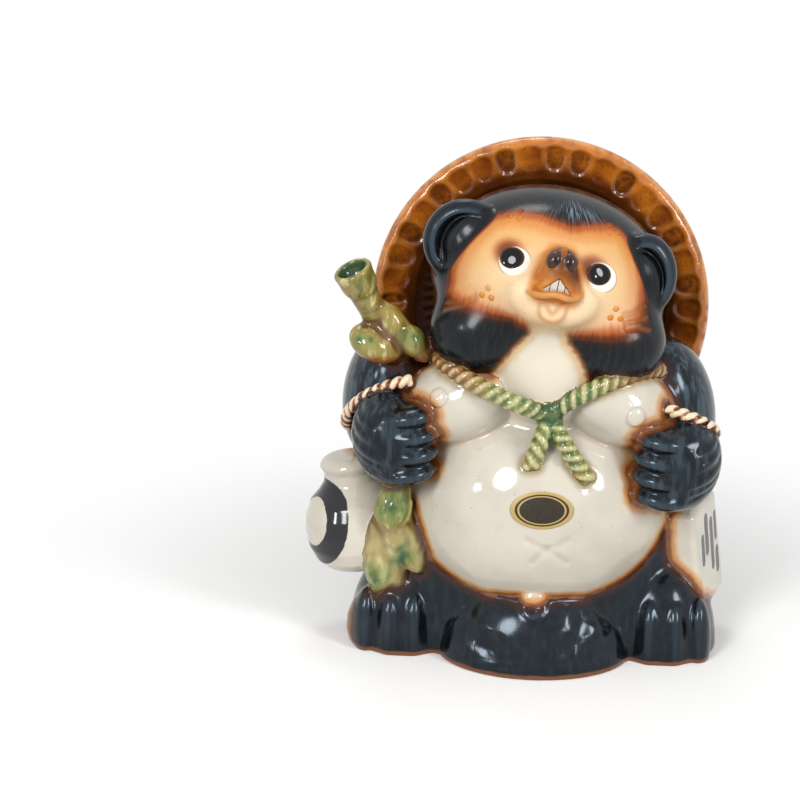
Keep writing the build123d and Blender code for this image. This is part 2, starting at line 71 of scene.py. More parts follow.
def local(place, x, y, z):
    px, py, pz = x - place["at"][0], y - place["at"][1], z - place["at"][2]
    a = place["axes"].astype(np.float32)
    return (px * a[0, i] + py * a[1, i] + pz * a[2, i] for i in range(3))


def egg(centre, size, turn=(0, 0, 0)):
    return {"place": placed(centre, turned(turn)), "radii": np.array(size, float) / 2}


def eggIn(place, point, size, turn=(0, 0, 0)):
    return {"place": inside(place, point, turn), "radii": np.array(size, float) / 2}


def spotOn(form, azimuth, elevation, sink=0.0):
    # A frame on an egg's skin: z out, x level to the right, y up
    a, e = math.radians(azimuth), math.radians(elevation)
    way = np.array([math.sin(a) * math.cos(e), -math.cos(a) * math.cos(e), math.sin(e)])
    normal = way / form["radii"]
    normal /= np.linalg.norm(normal)
    across = np.cross([0, 0, 1], normal)
    across /= np.linalg.norm(across)
    axes = np.stack([across, np.cross(normal, across), normal], axis=1)
    point = form["radii"] * way - normal * sink
    return placed(form["place"]["at"] + form["place"]["axes"] @ point, form["place"]["axes"] @ axes)


def eggDistance(form):
    r = form["radii"].astype(np.float32)

    def distance(x, y, z):
        px, py, pz = local(form["place"], x, y, z)
        k = np.sqrt((px / r[0]) ** 2 + (py / r[1]) ** 2 + (pz / r[2]) ** 2) + 1e-6
        g = np.sqrt((px / r[0] ** 2) ** 2 + (py / r[1] ** 2) ** 2 + (pz / r[2] ** 2) ** 2) + 1e-6
        return k * (k - 1) / g

    return distance


def eggReach(form):
    half = np.sqrt(((form["place"]["axes"] * form["radii"]) ** 2).sum(axis=1))
    return form["place"]["at"] - half, form["place"]["at"] + half


def softMin(a, b, k):
    if k <= 0:
        return np.minimum(a, b)
    h = np.clip(0.5 + 0.5 * (a - b) / k, 0, 1)
    return a * (1 - h) + b * h - k * h * (1 - h)


def window(low, high, margin):
    start = np.clip(np.floor((np.array(low) - margin - gridLow) / voxel).astype(int), 0, gridCount)
    stop = np.clip(np.ceil((np.array(high) + margin - gridLow) / voxel).astype(int) + 1, 0, gridCount)
    part = tuple(slice(a, b) for a, b in zip(start, stop))
    axes = [(gridLow[i] + voxel * np.arange(start[i], stop[i])).astype(np.float32) for i in range(3)]
    return part, axes[0][:, None, None], axes[1][None, :, None], axes[2][None, None, :]


def pieceNumber(name):
    if name not in pieceNames:
        pieceNames.append(name)
    return pieceNames.index(name)


def lute(name, distance, low, high, fillet):
    # Joins a form to the clay, with a fillet of slip where they meet
    part, x, y, z = window(low, high, fillet + 4)
    d = distance(x, y, z)
    old = field[part]
    owner[part][d < old] = pieceNumber(name)
    field[part] = softMin(old, d, fillet)


def luteEgg(name, form, fillet):
    lute(name, eggDistance(form), *eggReach(form), fillet)


def carve(distance, low, high, fillet, name=None):
    part, x, y, z = window(low, high, fillet + 4)
    d = distance(x, y, z)
    if name:
        owner[part][d < 0.8] = pieceNumber(name)
    field[part] = -softMin(-field[part], d, fillet)


def curveThrough(points, count):
    # Even steps along a smooth curve through a few points
    p = np.array(points, float)
    p = np.vstack([2 * p[0] - p[1], p, 2 * p[-1] - p[-2]])
    t = np.linspace(0, len(p) - 3 - 1e-6, count * 4)
    i = t.astype(int)
    f = (t - i)[:, None]
    a, b, c, d = p[i], p[i + 1], p[i + 2], p[i + 3]
    bend = (2 * a - 5 * b + 4 * c - d) * f**2 + (3 * b - a - 3 * c + d) * f**3
    curve = 0.5 * (2 * b + (c - a) * f + bend)
    run = np.concatenate([[0], np.cumsum(np.linalg.norm(np.diff(curve, axis=0), axis=1))])
    even = np.linspace(0, run[-1], count)
    return np.stack([np.interp(even, run, curve[:, k]) for k in range(3)], axis=1)


def arcThrough(a, b, c, count):
    a, b, c = (np.array(p, float) for p in (a, b, c))
    u, v = b - a, c - a
    w = np.cross(u, v)
    centre = a + (np.cross(w, u) * (v @ v) + np.cross(v, w) * (u @ u)) / (2 * (w @ w))
    first = a - centre
    radius = np.linalg.norm(first)
    first /= radius
    second = np.cross(w / np.linalg.norm(w), first)
    sweep = math.atan2((c - centre) @ second, (c - centre) @ first) % (2 * math.pi)
    t = np.linspace(0, sweep, count)[:, None]
    return centre + radius * (np.cos(t) * first + np.sin(t) * second)


def chainDistance(points, radii):
    # Distance to a row of balls close enough together to read as a rod
    def distance(x, y, z):
        d = np.full(np.broadcast_shapes(x.shape, y.shape, z.shape), 40.0, np.float32)
        for point, radius in zip(points, radii):
            reach = radius + 6
            part = []
            for i, axis in enumerate((x.ravel(), y.ravel(), z.ravel())):
                a, b = np.searchsorted(axis, (point[i] - reach, point[i] + reach))
                part.append(slice(a, b))
            part = tuple(part)
            square = (x[part[0]] - point[0]) ** 2 + (y[:, part[1]] - point[1]) ** 2
            gap = np.sqrt(square + (z[:, :, part[2]] - point[2]) ** 2)
            d[part] = np.minimum(d[part], gap - radius)
        return d

    return distance


def luteChain(name, points, radii, fillet):
    reach = max(radii)
    lute(name, chainDistance(points, radii), points.min(axis=0) - reach, points.max(axis=0) + reach, fillet)


def scratch(points, width, depth, count=24):
    # A tooled line: a groove along a curve on the skin, or a ridge where depth is negative
    path = curveThrough(points, count)
    part, x, y, z = window(path.min(axis=0), path.max(axis=0), 3 * width)
    d = chainDistance(path, [0.0] * count)(x, y, z)
    field[part] += depth * np.exp(-((np.minimum(d, 20) / width) ** 2))


def outlineDistance(outline, u, v, onAxis=False):
    # Signed distance in a plane to a closed outline, below zero inside; edges on a turning axis don't count
    outline = np.array(outline, float)
    gap = np.full(u.shape, 1e6)
    within = np.zeros(u.shape, bool)
    for (ax, ay), (bx, by) in zip(outline, np.roll(outline, -1, axis=0)):
        wide, tall = bx - ax, by - ay
        t = np.clip(((u - ax) * wide + (v - ay) * tall) / (wide**2 + tall**2 + 1e-9), 0, 1)
        if not onAxis or max(ax, bx) > 1e-6:
            gap = np.minimum(gap, np.hypot(u - ax - t * wide, v - ay - t * tall))
        if tall:
            within ^= ((ay > v) != (by > v)) & (u < wide * (v - ay) / tall + ax)
    return np.where(within, -gap, gap)


def sampled(values, at):
    # Values of a field between its grid points
    i = np.clip(at.astype(int), 0, np.array(values.shape) - 2)
    f = (at - i).astype(np.float32)
    total = 0
    for corner in range(8):
        step = np.array([(corner >> k) & 1 for k in range(3)])
        weight = np.prod(np.where(step, f, 1 - f), axis=1)
        total = total + weight * values[i[:, 0] + step[0], i[:, 1] + step[1], i[:, 2] + step[2]]
    return total


# Torso: a cast shell, open underneath
torso = {
    "width": 156.0, "depth": 98.0, "height": 142.0, "back": 6.0, "wall": 6.0, "seam": 4.0,
    "ups": (0.0, 0.1, 0.35, 0.6, 0.8, 0.92, 1.0),
    "shares": (1.0, 1.0, 0.93, 0.88, 0.82, 0.7, 0.45),
}


def torsoShare(height):
    steps = np.linspace(0, 1, 401)
    shares = np.interp(steps, torso["ups"], torso["shares"])
    padded = np.pad(shares, 24, mode="edge")
    shares = np.convolve(padded, np.ones(49) / 49, mode="valid")
    return np.interp(height / torso["height"], steps, shares).astype(np.float32)


def torsoDistance(inset, top):
    def distance(x, y, z):
        share = torsoShare(z * torso["height"] / top)
        a = torso["width"] / 2 * share - inset
        b = torso["depth"] / 2 * share - inset
        yy = y - torso["back"]
        k = np.sqrt((x / a) ** 2 + (yy / b) ** 2) + 1e-5
        slope = np.sqrt((x / a**2) ** 2 + (yy / b**2) ** 2) / k + 1e-5
        return -softMin(-(k - 1) / slope, top - z, 8.0)

    return distance


def torsoGirth(height):
    return float(np.interp(height / torso["height"], torso["ups"], torso["shares"]))


def torsoFront(height):
    return torso["back"] - torso["depth"] / 2 * torsoGirth(height)


def torsoSide(height):
    return torso["width"] / 2 * torsoGirth(height)


torsoLow, torsoHigh = (-80, -46, -4), (80, 58, 144)
lute("torso", torsoDistance(0, torso["height"]), torsoLow, torsoHigh, 0)

# Head: leans to the right, with a face that swells into two jowls
face = {
    "head": ((4, -5, 167), (104, 90, 80), (0, 10, 2)),
    "jowl": (44, 40, 40), "jowlSpread": 29, "jowlLevel": 147, "jowlOut": 27, "jowlLean": 4,
    "jowlFillet": 7.0,
    "earAt": {"left": (-32, -22, 186), "right": (44, -22, 173)},
    "earSize": {"left": (36, 16, 37), "right": (28, 16, 36)},
    "earRim": 4.6,
    "earLobe": {"left": ((1.5, 1.5), (19, 15, 26), 34), "right": ((-0.5, -1.5), (17, 15, 26), -14)},
    "muzzle": (21, 22, 12), "muzzleRise": 17,
    "lip": ((-11.4, -8.8, 3.4), (-9.4, -9.8, 5.6), (-5.5, -10.2, 8.8), (0, -9.1, 10.6), (5, -9.8, 9.4),
            (9, -8.2, 6.0), (10.6, -6.0, 3.4)),
    "eye": 14.2, "pupil": 9.3, "eyeAzimuth": 21.8, "eyeRise": 19.3,
    "eyeDome": 1.5, "eyeRim": 0.6, "glance": 140,
}
sides = {"left": -1, "right": 1}
head = egg(*face["head"])
luteEgg("head", head, 4.0)
for name, side in sides.items():
    across = side * face["jowlSpread"]
    level = face["jowlLevel"] - across * math.sin(math.radians(face["jowlLean"]))
    jowl = egg((4 + across, -face["jowlOut"], level), face["jowl"], (0, face["jowlLean"], side * 30))
    luteEgg("jowl_" + name, jowl, face["jowlFillet"])

# Throat, belly and chest: the pale front
throat = egg((4, -20.8, 132), (54, 52, 60))
luteEgg("throat", throat, 6.0)
belly = egg((1, -8.4, 67), (118, 100, 102))
luteEgg("belly", belly, 4.0)
chests = {}
for name, side in sides.items():
    chests[name] = egg((1 + side * 32, -23.7, 118), (56, 46, 38), (0, side * 22, 0))
    luteEgg("chest_" + name, chests[name], 2.2)
print("torso, head and belly formed")

# Hat: a sedge hat on the back, its underside to the front
hat = {
    "at": (0, 24, 147), "turn": (83, 0, 0), "diameter": 153.0, "thick": 9.0, "crown": 32.0,
    "brim": 19.0, "groove": 8.0, "grooveDepth": 8.0,
    "dimples": 38, "dimpleLength": 12.0, "dimpleShare": 0.82, "dimpleDepth": 1.5,
    "straws": 72, "strawHeight": 0.28,
}
hatPlace = placed(hat["at"], turned(hat["turn"]))


def hatProfile():
    rim = hat["diameter"] / 2
    half = hat["thick"] / 2
    brim = rim - hat["brim"]
    crown = brim - hat["groove"]
    points = [(0, -hat["crown"] + hat["thick"]), (crown, -hat["grooveDepth"] - half), (brim, -half / 2)]
    lip = np.linspace(math.pi / 2, -math.pi / 2, 13)
    points += [(rim - half + half * math.cos(t), half * math.sin(t)) for t in lip]
    back = arcThrough((rim - half, -half, 0), (crown, -0.55 * hat["crown"], 0), (0, -hat["crown"], 0), 24)
    return np.array(points + [(p[0], p[1]) for p in back[1:]])


def hatDimple(x, y, z):
    # How deep in a pressed dimple of the rim a point lies, 0 to 1
    ring = hat["diameter"] / 2 - hat["brim"] / 2
    turn = np.arctan2(y, x) / (2 * math.pi) * hat["dimples"]
    u = (turn - np.round(turn)) * 2 / hat["dimpleShare"]
    v = (np.sqrt(x**2 + y**2) - ring) / (hat["dimpleLength"] / 2)
    shape = np.clip(1.35 - (np.abs(u) ** 2.4 + np.abs(v) ** 2.6), 0, 1)
    uneven = 0.72 + 0.28 * np.sin(np.round(turn) * 2.4)
    return shape * shape * (3 - 2 * shape) * uneven * (z > -3.5)


def hatDistance(x, y, z):
    # The turned profile is measured once on a table, and read off round the axis
    step, low = 0.5, -45
    r, h = np.arange(0, 90, step), np.arange(low, 20, step)
    table = outlineDistance(hatProfile(), *np.meshgrid(r, h, indexing="ij"), True).astype(np.float32)
    px, py, pz = local(hatPlace, x, y, z)
    radius = np.clip(np.sqrt(px**2 + py**2) / step, 0, len(r) - 2)
    height = np.clip((pz - low) / step, 0, len(h) - 2)
    i, j = radius.astype(int), height.astype(int)
    fi, fj = radius - i, height - j
    near = table[i, j] * (1 - fi) + table[i + 1, j] * fi
    above = table[i, j + 1] * (1 - fi) + table[i + 1, j + 1] * fi
    ribs = np.clip((-pz - 6) / 6, 0, 1) * np.clip(radius / 40, 0, 1)
    straw = hat["strawHeight"] * np.cos(np.arctan2(py, px) * hat["straws"]) * ribs
    return near * (1 - fj) + above * fj + hat["dimpleDepth"] * hatDimple(px, py, pz) + straw


lute("hat", hatDistance, (-78, -10, 68), (78, 66, 226), 2.0)
print("hat formed")

# Ears: round dishes half behind the head, each with a lobe inside its rim
earCups = {}
for name in sides:
    at, size, rim = np.array(face["earAt"][name], float), face["earSize"][name], face["earRim"]
    (lobeX, lobeZ), lobeSize, lobeTurn = face["earLobe"][name]
    cup = egg(at, size)
    scoop = egg(at - (0, 7, 0), (size[0] - 2 * rim, 15, size[2] - 2 * rim))
    lobe = egg(at + (lobeX, -1, lobeZ), lobeSize, (0, lobeTurn, 0))

    def earDistance(x, y, z):
        dish = -softMin(-eggDistance(cup)(x, y, z), eggDistance(scoop)(x, y, z), 1.5)
        return softMin(dish, eggDistance(lobe)(x, y, z), 1.2)

    lute("ear_" + name, earDistance, *eggReach(cup), 2.5)
    earCups[name] = cup

# Muzzle, lip and chin
muzzlePlace = spotOn(head, 0, face["muzzleRise"])


def muzzleDistance(x, y, z):
    width, height, reach = face["muzzle"]
    px, py, pz = local(muzzlePlace, x, y, z)
    ups = np.array((-0.62, -0.5, -0.3, 0.05, 0.35, 0.5, 0.62)) * height
    a = np.interp(py, ups, np.array((0.7, 0.85, 1.0, 0.82, 0.6, 0.42, 0.36)) * width / 2).astype(np.float32)
    b = np.interp(py, ups, np.array((0.4, 0.6, 0.9, 1.04, 1.0, 0.8, 0.6)) * reach).astype(np.float32)
    k = np.sqrt((px / a) ** 2 + (pz / b) ** 2) + 1e-5
    slope = np.sqrt((px / a**2) ** 2 + (pz / b**2) ** 2) / k + 1e-5
    return -softMin(-(k - 1) / slope, height * 0.52 - np.abs(py + 0.2), 3.0)


def mouthDistance(x, y, z):
    px, py, pz = local(muzzlePlace, x, y, z)
    slant = (np.abs(px) * 0.66 + (py + 2.4) * 0.75)
    return np.maximum(np.maximum(slant, -8.0 - py), 8.0 - pz)


muzzleLow, muzzleHigh = muzzlePlace["at"] - 18, muzzlePlace["at"] + 18
luteEgg("head", eggIn(muzzlePlace, (0, -9.5, -2.0), (34, 22, 13)), 9.0)
lute("muzzle", muzzleDistance, muzzleLow, muzzleHigh, 2.4)
lipPath = np.array([inside(muzzlePlace, point)["at"] for point in curveThrough(face["lip"], 40)])
lipGirth = np.interp(np.linspace(0, 1, 40), (0, 0.15, 0.85, 1), (0.7, 1.4, 1.4, 0.8))
luteChain("lower_lip", lipPath, lipGirth, 0.9)
luteEgg("chin", eggIn(muzzlePlace, (0, -15.6, 0.6), (12.4, 11, 9)), 2.4)
carve(mouthDistance, muzzleLow, muzzleHigh, 0.6)
for name, side in sides.items():
    spot = spotOn(head, side * face["eyeAzimuth"], face["eyeRise"])
    socket = eggIn(spot, (0, 0.6, 2.0), (face["eye"] + 2.5, face["eye"] + 3.5, 5.4))
    carve(eggDistance(socket), *eggReach(socket), 1.2)
print("face formed")

# Arms and the paws that are folded in to the belly
limbs = {
    "arm": (40, 50, 68), "armY": -2,
    "armX": {"left": -67.2, "right": 59.2}, "armZ": {"left": 112, "right": 108},
    "paw": (34, 38, 44), "pawX": 63, "pawY": -32, "pawZ": {"left": 101, "right": 93},
    "fingers": 4, "finger": (24, 23), "foot": (52, 58, 84), "footX": 58, "footY": -12,
    "toes": 4, "toe": (20, 40),
}
paws = {}
for name, side in sides.items():
    at = (limbs["armX"][name], limbs["armY"], limbs["armZ"][name])
    luteEgg("arm_" + name, egg(at, limbs["arm"], (12, -side * 10, 0)), 3.5)
    centre = (side * limbs["pawX"], limbs["pawY"], limbs["pawZ"][name])
    paws[name] = egg(centre, limbs["paw"], (0, side * 10, 0))
    luteEgg("paw_" + name, paws[name], 2.0)
    pitch = limbs["paw"][2] * 0.78 / limbs["fingers"]
    for step in range(limbs["fingers"]):
        up = (limbs["fingers"] - 1) / 2 - step
        curl = limbs["paw"][0] * 0.3 - abs(up) * 1.2
        at = (centre[0] - side * curl, centre[1] - limbs["paw"][1] * 0.22, centre[2] + up * pitch)
        luteEgg("paw_" + name, egg(at, (*limbs["finger"], pitch * 1.24), (0, side * 8, 0)), 3.0)

# Feet, money bag and tail
bag = {"at": (1, -30, 0), "size": (86, 60, 76), "tip": 12, "tipRise": -42}
for name, side in sides.items():
    centre = (side * limbs["footX"], limbs["footY"], 0)
    luteEgg("foot_" + name, egg(centre, limbs["foot"]), 3.0)
    pitch = limbs["foot"][0] * 0.84 / limbs["toes"]
    for step in range(limbs["toes"]):
        across = step - (limbs["toes"] - 1) / 2
        reach = limbs["foot"][1] * (0.34 - 0.03 * across**2)
        at = (centre[0] + across * pitch, centre[1] - reach, limbs["toe"][1] * 0.18)
        luteEgg("foot_" + name, egg(at, (pitch * 1.14, *limbs["toe"])), 1.4)
luteEgg("money_bag", egg(bag["at"], bag["size"]), 2.5)
luteEgg("bag_tip", egg(spotOn(belly, 0, bag["tipRise"], -0.5)["at"], (bag["tip"], 8, 9)), 0.8)
luteEgg("tail", egg((26, 53, 35.3), (46, 34, 84), (0, -18, 0)), 3.0)
print("limbs formed")

# Staff: a knotty branch through the left fist
staff = {
    "dish": 4.0, "knob": 20.0,
    "ups": (0, 0.12, 0.25, 0.35, 0.6, 0.8, 0.87, 0.94, 1),
    "girth": (7.5, 6.0, 5.0, 5.5, 7.0, 6.8, 5.4, 6.4, 9.0),
}
fx, fy, fz = paws["left"]["place"]["at"]
staffPath = curveThrough([
    (fx - 8, fy + 13, -8), (fx - 7, fy + 12, 0), (fx - 4, fy + 5, 30), (fx + 2, fy - 1, 61),
    (fx + 2, fy + 2, fz), (fx + 2, fy + 15, fz + 23), (fx - 1, fy + 12, fz + 39),
    (fx - 9, fy + 5, 158), (fx - 16.5, fy - 1, 176),
], 140)
along = np.linspace(0, 1, 140)
staffGirth = np.interp(along, staff["ups"], staff["girth"])
staffGirth = staffGirth + 0.7 * np.sin(along * 75) * np.sin(along * 41 + 1) * (along < 0.9)
luteChain("staff", staffPath[:-7], staffGirth[:-7], 2.0)


def gnarled(distance, height):
    # Bark: shallow lumps a few millimetres across
    def lumpy(x, y, z):
        across = np.sin(0.75 * x + 1.6 * np.sin(0.31 * z))
        return distance(x, y, z) + height * across * np.sin(0.52 * z + 1.4 * np.sin(0.45 * x + 0.2 * y))

    return lumpy


for at, turn, size in (
    ((fx - 7, fy + 4, fz + 41), (20, 27, 0), (1.2, 0.95, 0.75)),
    ((fx + 9, fy + 5, fz + 42), (0, -25, 0), (0.6, 0.65, 0.7)),
    ((fx + 1, fy + 5, fz + 50), (0, -32, 0), (0.55, 0.6, 1.0)),
    ((fx + 14, fy + 9, fz + 37), (0, 45, 0), (0.5, 0.55, 0.6)),
    ((fx + 1, fy - 2, 0.68 * fz), (-15, 20, 0), (0.8, 0.75, 1.0)),
    ((fx + 7, fy + 2, 0.52 * fz), (0, -18, 0), (0.8, 0.65, 1.7)),
    ((fx - 6, fy + 2, 0.5 * fz), (0, 10, 0), (0.6, 0.65, 1.5)),
    ((fx - 5, fy + 1, 0.36 * fz), (15, 0, 0), (0.65, 0.65, 0.95)),
    ((fx + 1, fy + 4, 0.38 * fz), (0, -12, 0), (0.45, 0.6, 1.4)),
    ((fx - 11, fy + 8, 9), (0, 8, 0), (1.0, 0.95, 1.5)),
):
    form = egg(at, [s * staff["knob"] for s in size], turn)
    lute("staff", gnarled(eggDistance(form), 0.1 if at[2] > fz else 0.2), *eggReach(form), 3.5)
cutWay = staffPath[-1] - staffPath[-6]
cutWay /= np.linalg.norm(cutWay)
cutAcross = np.cross(cutWay, (0, 1, 0))
cutAcross /= np.linalg.norm(cutAcross)
cutPlace = placed(staffPath[-1], np.stack([cutAcross, np.cross(cutWay, cutAcross), cutWay], axis=1))


def cutDistance(x, y, z):
    px, py, pz = local(cutPlace, x, y, z)
    return -softMin(-(np.hypot(px, py) - staffGirth[-1] - 0.26 * pz), np.minimum(-pz, pz + 8), 2.2)


lute("staff", cutDistance, cutPlace["at"] - 14, cutPlace["at"] + 14, 5.0)
dish = eggIn(cutPlace, (0, 0, 0.5), (12.4, 12.4, 2 * staff["dish"] + 8))
carve(eggDistance(dish), *eggReach(dish), 1.2)

# Flask at the left hip, account book at the right
flask = {
    "diameter": 46.0, "height": 52.0, "level": 33.0, "out": 4.0, "back": 30.0, "lean": -6.0,
    "ups": (-0.1, 0, 0.1, 0.22, 0.36, 0.5, 0.62, 0.7, 0.78, 0.86, 0.93, 1.0),
    "shares": (0.45, 0.66, 0.86, 0.97, 1.0, 0.96, 0.84, 0.66, 0.53, 0.5, 0.57, 0.5),
}
book = {
    "size": (22.0, 36.0, 48.0), "level": 17.0, "rise": 24.0, "out": -8.0, "back": 38.0,
    "turn": -20.0, "lean": -8.0, "edge": 3.0,
}
level = flask["level"]
flaskAt = (-torsoSide(level) - flask["out"], torsoFront(level) + flask["back"], level)
flaskPlace = placed(flaskAt, turned((0, flask["lean"], 0)))
level = book["level"]
bookAt = (torsoSide(level) + book["out"], torsoFront(level) + book["back"], level + book["rise"])
bookPlace = placed(bookAt, turned((0, book["lean"], book["turn"])))


def flaskDistance(x, y, z):
    px, py, pz = local(flaskPlace, x, y, z)
    h = flask["height"]
    shares = np.array(flask["shares"]) * flask["diameter"] / 2
    wide = np.interp(pz, np.array(flask["ups"]) * h, shares).astype(np.float32)
    side = (np.sqrt(px**2 + py**2) - wide) * 0.85
    return -softMin(-side, np.minimum(pz, h - pz), 3.0)


def bookDistance(x, y, z):
    px, py, pz = local(bookPlace, x, y, z)
    e = book["edge"]
    q = [np.abs(p) - s / 2 + e for p, s in zip((px, py, pz), book["size"])]
    out = np.sqrt(sum(np.maximum(p, 0) ** 2 for p in q))
    return out + np.minimum(np.maximum(np.maximum(q[0], q[1]), q[2]), 0) - e


lute("flask", flaskDistance, flaskPlace["at"] - (32, 30, 8), flaskPlace["at"] + (30, 30, 66), 2.0)
lute("account_book", bookDistance, bookPlace["at"] - 36, bookPlace["at"] + 36, 1.5)
print("staff, flask and book formed")

# Rope collar, its knot and ends, and the rope cuffs
rope = {
    "width": 8.0, "bead": 4.6, "strand": 2.35, "cuffWidth": 5.8, "back": 24.0,
    "shoulder": {"left": 136.0, "right": 129.0}, "knot": (12, 11, 15), "knotRise": -32,
    "ends": {"left": (-3, 34), "right": (24, 27)}, "bow": 3.0,
    "cuffs": {"left": ((8, -1, 26), (-12, 1, 17), (-21, 17, -1)),
              "right": ((-12, 1, 24), (2, -6, 22.5), (14, 3, 13))},
}


def twist(name, path, width, fillet):
    # Two strands laid round each other, one bead for each half turn
    run = np.concatenate([[0], np.cumsum(np.linalg.norm(np.diff(path, axis=0), axis=1))])
    count = int(run[-1] / 0.8)
    even = np.linspace(0, run[-1], count)
    line = np.stack([np.interp(even, run, path[:, k]) for k in range(3)], axis=1)
    ahead = np.gradient(line, axis=0)
    ahead /= np.linalg.norm(ahead, axis=1)[:, None]
    across = np.cross(ahead, (0.1, -1.0, 0.2))
    across /= np.linalg.norm(across, axis=1)[:, None]
    outward = np.cross(across, ahead)
    strand = rope["strand"] * width / rope["width"]
    turn = math.pi * even / rope["bead"]
    for phase in (0, math.pi):
        swing = np.cos(turn + phase)[:, None] * across + np.sin(turn + phase)[:, None] * outward
        luteChain(name, line + (width / 2 - strand) * swing, [strand] * count, fillet)


knot = spotOn(throat, 4, rope["knotRise"])["at"]
luteEgg("rope_knot", egg(knot, rope["knot"]), 1.0)
for name, side in sides.items():
    level = rope["shoulder"][name]
    shoulder = np.array((side * torsoSide(level) * 0.97, torso["back"] - rope["back"], level))
    over = spotOn(chests[name], -side * 12, 42, -rope["width"] * 0.2)["at"]
    twist("rope_" + name, arcThrough(shoulder, over, knot, 80), rope["width"], 0.7)
    end = spotOn(belly, *rope["ends"][name])["at"]
    middle = (knot + end) / 2 - np.array((0, rope["bow"], 0))
    twist("rope_end_" + name, arcThrough(knot, middle, end, 40), rope["width"], 0.7)
    cuffPath = arcThrough(*[paws[name]["place"]["at"] + p for p in rope["cuffs"][name]], 60)
    twist("cuff_" + name, cuffPath, rope["cuffWidth"], 0.7)

# Nipples: low buttons of clay
nipple = {"size": (8.4, 8.4, 3.8), "azimuth": 18, "rise": {"left": 26, "right": 8}}
for name, side in sides.items():
    spot = spotOn(chests[name], side * nipple["azimuth"], nipple["rise"][name])
    luteEgg("nipple_" + name, eggIn(spot, (0, 0, 0.2), nipple["size"]), 0.9)
print("ropes formed")

# Tooled lines: navel, folds of the bag, mouth, whiskers, fur on the paws
tooled = {
    "navelMiddle": (6.2, -58, 60.2),
    "navel": (((-2.5, -58.3, 65), (2, -58.4, 62)), ((15, -56.9, 65), (10.5, -57.6, 62)),
              ((0, -56.7, 54), (3.5, -57.5, 58)), ((14.5, -55.3, 54), (10, -57, 57.8))),
    "folds": (((-57, 38), (-50, 29), (-41, 23), (-30, 18.5)), ((-28, 20), (-19, 15.6), (-9, 17)),
              ((62, 42), (66, 30), (54, 20), (38, 15.5)), ((41, 39), (32, 27), (21, 20.6))),
    "hem": ((-63, 57), (-16, 58), (-6, 47), (0, 44), (7, 48), (18, 59), (63, 58)),
    "tongue": ((-2.2, -14.4, 7.0), (0, -16.6, 7.0), (2.2, -14.4, 7.0)),
    "jaw": ((-5.6, -13.0, 5.2), (-4.4, -17.6, 4.8), (0, -19.6, 4.4), (4.4, -17.6, 4.8), (5.6, -13.0, 5.2)),
    "whiskerEnds": {"left": (54, 44, 37), "right": (48, 41, 35.5)},
    "whiskers": {"left": ((-15.6, -13, -7), (-19, -14.5, -9)),
                 "right": ((4, 0.8, -1.2), (-1.5, -3.5, -5), (-7, -6.2, -7.5))},
    "hairs": 9,
}


def onSkin(points, way, steps=12):
    # Slides points along a way until they lie on the clay
    points = np.array(points, float)
    for step in range(steps):
        points = points - way * sampled(field, (points - gridLow) / voxel)[:, None]
    return points


for line in tooled["navel"]:
    scratch((*line, tooled["navelMiddle"]), 1.5, 0.9)
bagForm = egg(bag["at"], bag["size"])
for line in tooled["folds"]:
    scratch([spotOn(bagForm, *point)["at"] for point in line], 4.6, 1.3)
scratch([spotOn(bagForm, *point)["at"] for point in tooled["hem"]], 1.8, -1.1, 60)
drawnLines = []
for key, width, depth in (("tongue", 1.1, 0.8), ("jaw", 1.2, -0.5)):
    line = onSkin([inside(muzzlePlace, point)["at"] for point in tooled[key]], muzzlePlace["axes"][:, 2])
    scratch(line, width, depth)
    drawnLines.append(line)
for name, side in sides.items():
    ends = tooled["whiskerEnds"][name]
    for row in tooled["whiskers"][name]:
        out = spotOn(head, side * ends[1], row[1])["axes"][:, 2]
        whisker = onSkin([spotOn(head, side * a, e)["at"] for a, e in zip(ends, row)], out)
        scratch(whisker, 1.2, 0.9)
        drawnLines.append(whisker)
for name, side in sides.items():
    for step in range(tooled["hairs"]):
        rise = 60 - 11 * step + 4 * math.sin(step * 2.3)
        hair = ((66, 18), (44, 10), (24 - 6 * (step % 2), 1))
        scratch([spotOn(paws[name], side * a, rise + up, -0.3)["at"] for a, up in hair], 1.2, 0.9)
print("lines tooled")

# Floor cut and the hollow of the cast
zAxis = (gridLow[2] + voxel * np.arange(gridCount[2])).astype(np.float32)
np.maximum(field, -zAxis[None, None, :], out=field)
hollowPart, hx, hy, hz = window(torsoLow, torsoHigh, 0)
hollow = torsoDistance(torso["wall"], torso["height"] - torso["wall"])(hx, hy, hz)
owner[hollowPart][-hollow > field[hollowPart]] = pieceNumber("torso")
field[hollowPart] = np.maximum(field[hollowPart], -hollow)


def skinOf(values):
    # Points, faces and normals of the skin of a field, in its own steps
    vdb = openvdb.FloatGrid(40.0)
    vdb.copyFromArray(values)
    at, faces = vdb.convertToQuads(0.0)
    slopes = []
    for k in range(3):
        move = np.zeros(3, np.float32)
        move[k] = 1.0
        slopes.append(sampled(values, at + move) - sampled(values, at - move))
    normal = np.stack(slopes, axis=1)
    normal /= np.linalg.norm(normal, axis=1)[:, None] + 1e-9
    return at, faces.astype(np.int64), normal


points, quads, normals = skinOf(field)
skin = gridLow + voxel * points
print("skin:", len(points), "points,", len(quads), "faces")

